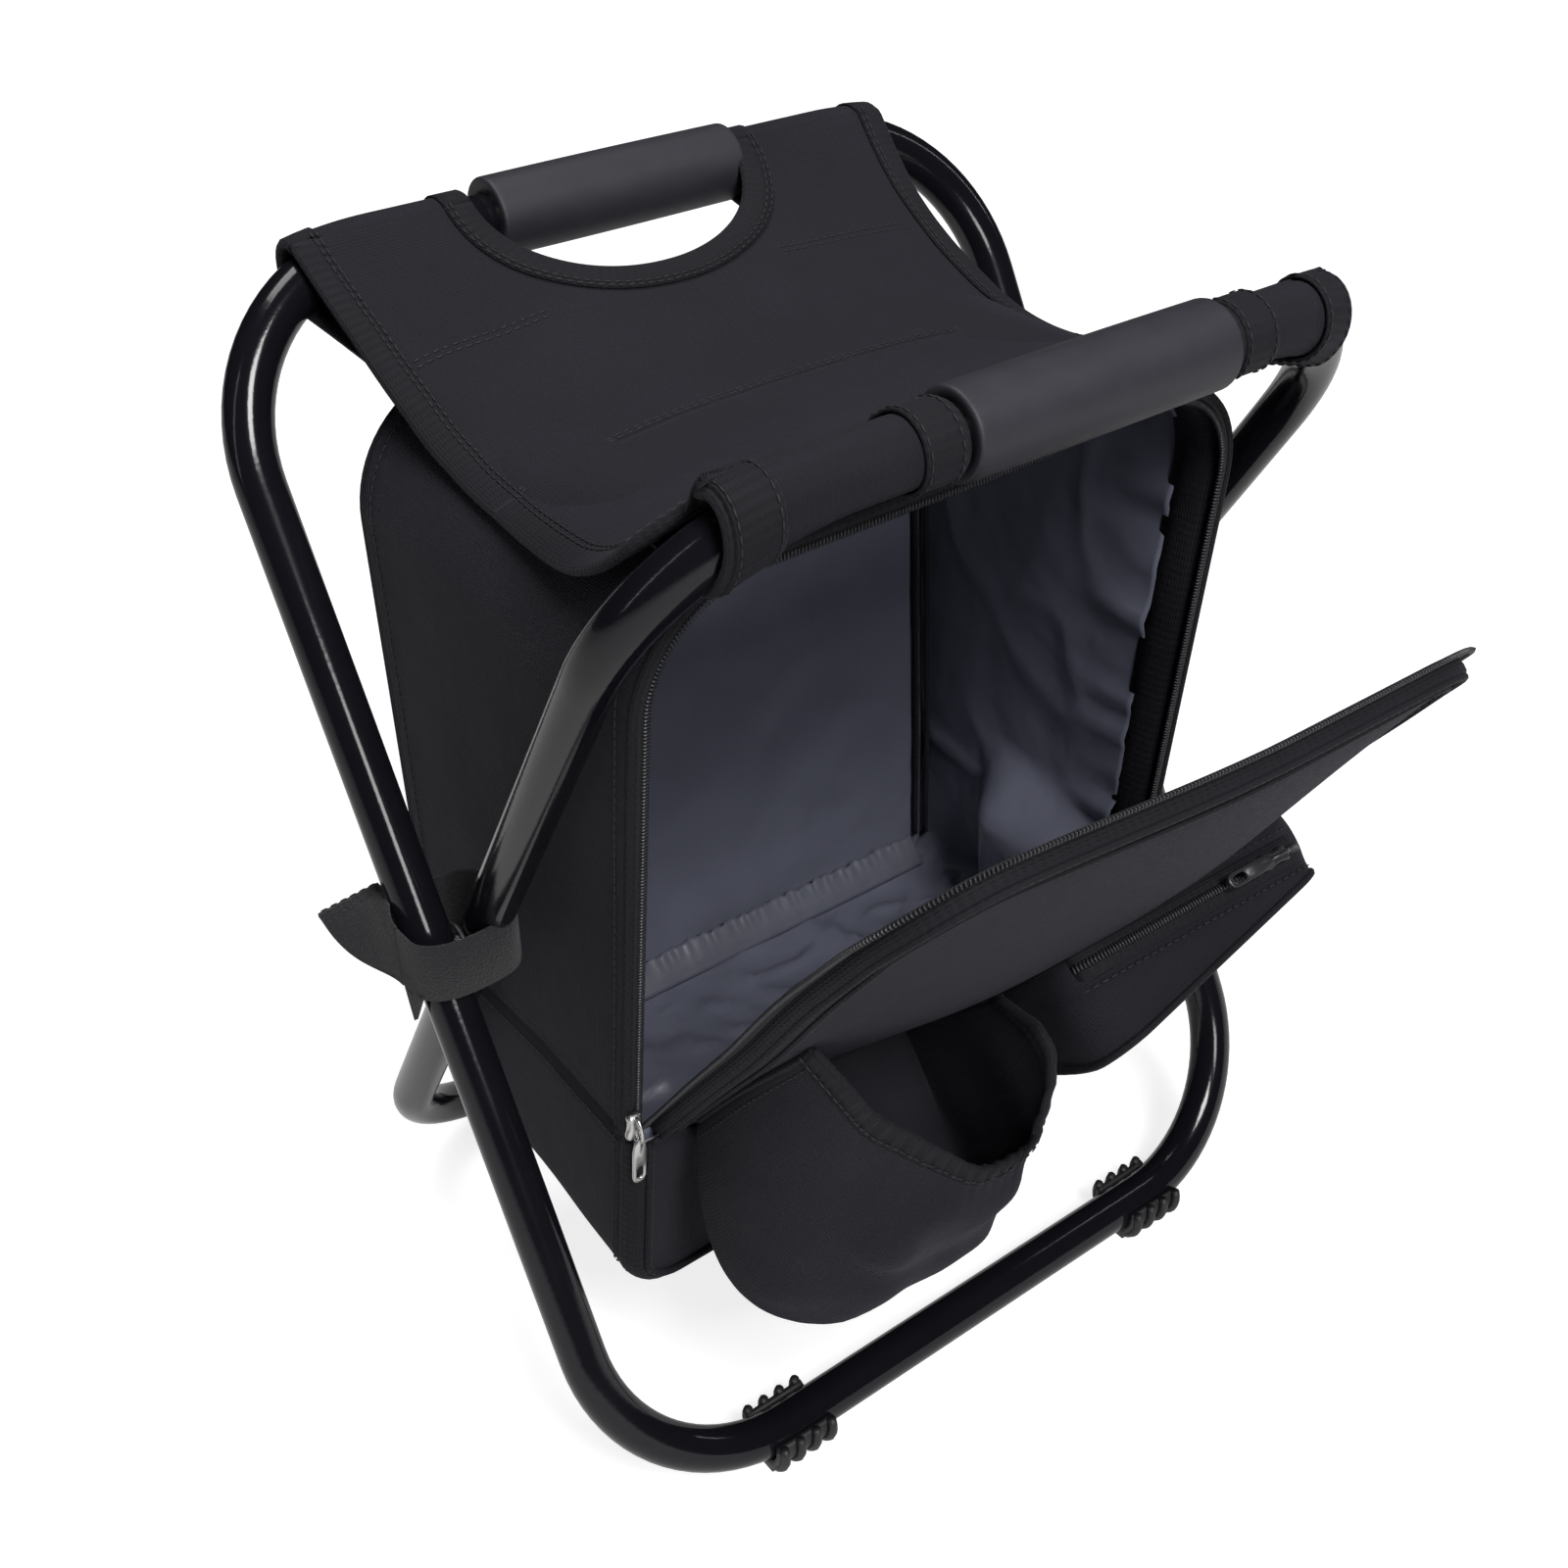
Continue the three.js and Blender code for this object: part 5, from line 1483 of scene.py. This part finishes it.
def makeSlider(word, look, slot, along, out):
    across = np.cross(out, along)
    pin = np.array(joints[word + "_pull_swing"]["pos_m"])
    base = pin - slider["pinHeight"] * out - slider["pinPlace"] * along

    def local(x, y, z):
        x, y, z = np.broadcast_arrays(x, y, z)
        return base + x[..., None] * across + y[..., None] * out + z[..., None] * along

    t = np.linspace(-1, 1, 17)[:, None]
    turn = fullTurn(28)[None, :]
    c, s = np.cos(turn), np.sin(turn)
    cap = np.sqrt(np.clip(1 - t ** 8, 0, 1))
    wide = slider["half"] * (0.72 + 0.28 * smooth(np.abs(t - 0.1), 0.15, 0.9)) * (0.4 + 0.6 * cap)
    tall = slider["height"] / 2 * (0.25 + 0.75 * cap)
    x = wide * np.sign(c) * np.abs(c) ** 0.6
    y = slider["height"] / 2 + tall * np.sign(s) * np.abs(s) ** 0.6
    body = local(x, y, (t + 1) / 2 * slider["length"])
    ends = [np.broadcast_to(body[k].mean(0), body[k].shape)[None] for k in (0, -1)]
    shell = gridPart(np.concatenate([ends[0], body, ends[1]]), wrapCols=True)
    arch = np.array([(0.0112, 0.003), (0.0108, 0.0048), (0.0092, 0.0062), (0.0066, 0.0071), (0.004, 0.0072),
                     (0.0018, 0.0066), (0.0006, 0.0052), (0.0002, 0.003)])
    bail = sweep(local(0 * arch[:, 0], arch[:, 1], arch[:, 0]), circle(slider["wire"], 8), across)
    piece = addPiece(word + "Slider", look, shell, bail, merge=1e-6, outward=True)
    carry(piece, word + "_slider", slot, word + "_slider")
    makePull(word, look, slot, pin, along, out, across)


def inTab(x, z):
    return np.abs(x) <= np.interp(z, *tabShape, left=-1, right=-1)


def inHole(x, z):
    past = np.maximum(np.abs(z - slider["holeAt"]) - slider["holeReach"], 0)
    return np.hypot(x, past) <= slider["holeHalf"]


# The pull tab, with a wire eye round the slider's bail
def makePull(word, look, slot, pin, along, out, across):
    turn = fullTurn(56)
    rim, hole = tabReach(turn, inTab), tabReach(turn, inHole)
    b, skin = slider["bevel"], slider["skin"]
    rings = [(hole, skin - b), (hole + b, skin), (rim - b, skin), (rim, skin - b), (rim, b - skin),
             (rim - b, -skin), (hole + b, -skin), (hole, b - skin)]
    grid = [pin + (r * np.sin(turn))[:, None] * across + level * out
            + (slider["holeAt"] + r * np.cos(turn))[:, None] * along for r, level in rings]
    tab = gridPart(np.stack(grid), wrapRows=True, wrapCols=True)
    turn = fullTurn(24)
    loop = pin + slider["eye"] * (np.cos(turn)[:, None] * out + np.sin(turn)[:, None] * along)
    eye = sweep(loop, circle(slider["wire"], 8), across, closed=True)
    piece = addPiece(word + "Pull", look, tab, eye, merge=1e-6, outward=True)
    carry(piece, word + "_pull", slot, word + "_pull")


makeSlider("zip", "platedSteel", "plated_steel", lowUp, lowOut)
makeSlider("pocket", "nylonCoil", "black_zip", axisX, flapUp)
print("zip sliders made")


# Side straps: a fuzzy band sewn to the bag, snug round the crossing legs, with a loose end that twists flat

strap = dict(thickness=0.0015, rimInset=0.0006, lift=0.004, tailRows=18, tipRows=6, seamRows=4,
             seamLift=0.0009)
strapLoop = [(0.1292, 0.0335), (0.1345, 0.0215), (0.1425, 0.018), (0.162, 0.018), (0.1712, 0.024),
             (0.1717, 0.034), (0.1712, 0.048), (0.164, 0.0535), (0.1425, 0.0535), (0.1345, 0.05),
             (0.1292, 0.0395)]


# A closed line with its corners cut again and again
def rounded(points, times):
    points = np.array(points)
    for _ in range(times):
        after = np.roll(points, -1, 0)
        pairs = np.stack([0.75 * points + 0.25 * after, 0.25 * points + 0.75 * after], 1)
        points = pairs.reshape(-1, points.shape[1])
    return points


def makeStrap(word, way):
    low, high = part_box("side_strap_" + word)
    t, rim, hw = strap["thickness"] / 2, strap["rimInset"], (high.z - low.z) / 2
    middle = (low.z + high.z) / 2 + strap["lift"]
    loop = rounded(strapLoop, 3)
    path = stacked(way * loop[:, 0], loop[:, 1], np.full(len(loop), middle))
    section = [(-hw, -t + rim), (-hw, t - rim), (-hw + rim, t), (0, t), (hw - rim, t), (hw, t - rim),
               (hw, -t + rim), (hw - rim, -t), (0, -t), (-hw + rim, -t)]
    band = sweep(path, section, (0, 0, 1), closed=True)
    piece = addPiece("strap" + word.title(), "loopTape", band, outward=True)
    carry(piece, "bag", "loop_tape", "side_strap_" + word, soft=False)
    # the loose end, and a short tip that hangs under the band
    share = np.linspace(0, 1, strap["tailRows"])
    turn = 0.5 * math.pi * smooth(share, 0.0, 1.0)
    start, stop = np.array([0.1718, 0.036, middle]), np.array([0.1748, 0.066, middle + 0.0075])
    bow = np.array([0.001, 0, 0.002]) * np.sin(math.pi * share)[:, None]
    line = start + (stop - start) * share[:, None] + bow
    width = stacked(-np.sin(turn), 0.12 * np.sin(turn), np.cos(turn))
    tail = line[:, None] + hw * width[:, None] * np.linspace(-1, 1, 7)[None, :, None]
    fall = np.linspace(0, 1, strap["tipRows"])[:, None]
    side = np.linspace(-1, 1, 5)[None, :] * (1 - fall)
    x, y, z = 0.1712 + 0.0008 * fall, 0.0305 + 0.0065 * side, middle - hw + 0.002 - 0.014 * fall
    tip = stacked(x, y, z)
    mirror = np.array([way, 1, 1])
    ends = [gridPart(tail * mirror), gridPart(tip * mirror)]
    addLayer("strapEnd" + word.title(), "loopTape", ends, strap["thickness"], "bag", "loop_tape", soft=False)
    lines = []
    for k in range(-1, -1 - strap["seamRows"], -1):
        away = unit(np.cross(width[k], line[k] - line[k - 1]))
        row = line[k] + 0.8 * (tail[k] - line[k])
        for lift in (strap["seamLift"], -strap["seamLift"]):
            lines.append(((row + lift * away) * mirror, away * mirror))
    carry(stitches("strapStitches" + word.title(), lines), "bag", "loop_tape", soft=False)


for word, way in (("left", -1), ("right", 1)):
    makeStrap(word, way)
print("straps made")


# Floor and studio light

studio = dict(floor=0.5, floorGlow=0.78, farGlow=0.98, mirrorGlow=0.34, horizon=0.008, zenith=0.006,
              floorSize=14.0)
# name, place, aim, width, height, watts
lamps = [
    ("key", (-0.1, 0.6, 2.4), (0, 0, 0.25), 1.2, 1.0, 26),
    ("leftStrip", (-1.9, 0.3, 1.3), (0, 0, 0.25), 0.06, 1.6, 1.8),
    ("rightStrip", (1.7, -0.3, 1.6), (0, 0, 0.25), 0.06, 1.5, 3),
    ("frontHigh", (-0.3, -1.5, 2.0), (0, 0, 0.2), 0.7, 0.7, 42),
    ("frontLow", (-0.45, -2.3, 1.2), (0, 0, 0.2), 0.6, 0.6, 15),
]


# A pale floor that glows towards the camera, more so far away
def floorLook():
    look = bpy.data.materials.new("paleFloor")
    look.use_nodes = True
    tree = look.node_tree
    tree.nodes.clear()
    ray = addNode(tree, "ShaderNodeLightPath").outputs
    place = addNode(tree, "ShaderNodeTexCoord").outputs["Object"]
    away = addNode(tree, "ShaderNodeVectorMath", {0: place}, operation="LENGTH").outputs["Value"]
    shine = addNode(tree, "ShaderNodeMapRange", {"Value": away, "From Min": 0.4, "From Max": 1.6,
                                                 "To Min": studio["floorGlow"], "To Max": studio["farGlow"]})
    direct = maths(tree, "MULTIPLY", ray["Is Camera Ray"], shine.outputs[0])
    level = maths(tree, "MULTIPLY_ADD", ray["Is Glossy Ray"], studio["mirrorGlow"], direct)
    pale = addNode(tree, "ShaderNodeBsdfDiffuse", {"Color": (studio["floor"],) * 3 + (1,)}).outputs[0]
    glow = addNode(tree, "ShaderNodeEmission", {"Color": (1, 1, 1, 1), "Strength": level}).outputs[0]
    both = addNode(tree, "ShaderNodeAddShader", {0: pale, 1: glow}).outputs[0]
    addNode(tree, "ShaderNodeOutputMaterial", {"Surface": both})
    return look


def makeFloor():
    mesh = bpy.data.meshes.new("floor")
    s = studio["floorSize"] / 2
    mesh.from_pydata([(-s, -s, 0), (s, -s, 0), (s, s, 0), (-s, s, 0)], [], [(0, 1, 2, 3)])
    mesh.materials.append(floorLook())
    addObject("floor", mesh)


# White to the camera, dim to everything else
def makeWorld():
    world = bpy.data.worlds.new("studio")
    bpy.context.scene.world = world
    world.use_nodes = True
    tree = world.node_tree
    way = addNode(tree, "ShaderNodeTexCoord").outputs["Generated"]
    height = addNode(tree, "ShaderNodeSeparateXYZ", {0: way}).outputs[2]
    level = addNode(tree, "ShaderNodeMapRange", {"Value": height, "From Min": 0.0, "From Max": 0.45,
                                                 "To Min": studio["horizon"], "To Max": studio["zenith"]})
    direct = addNode(tree, "ShaderNodeLightPath").outputs["Is Camera Ray"]
    sky = tree.nodes["Background"].inputs
    tree.links.new(maths(tree, "MAXIMUM", direct, level.outputs[0]), sky["Strength"])
    sky["Color"].default_value = (1, 1, 1, 1)


def makeLamps():
    for name, place, target, wide, tall, watts in lamps:
        data = bpy.data.lights.new(name, "AREA")
        data.shape = "RECTANGLE"
        data.size, data.size_y, data.energy = wide, tall, watts
        lamp = addObject(name, data)
        lamp.location = place
        lamp.rotation_euler = (Vector(target) - Vector(place)).to_track_quat("-Z", "Y").to_euler()


bpy.context.scene.view_settings.view_transform = "Standard"
makeFloor()
makeWorld()
makeLamps()
print("studio lit")
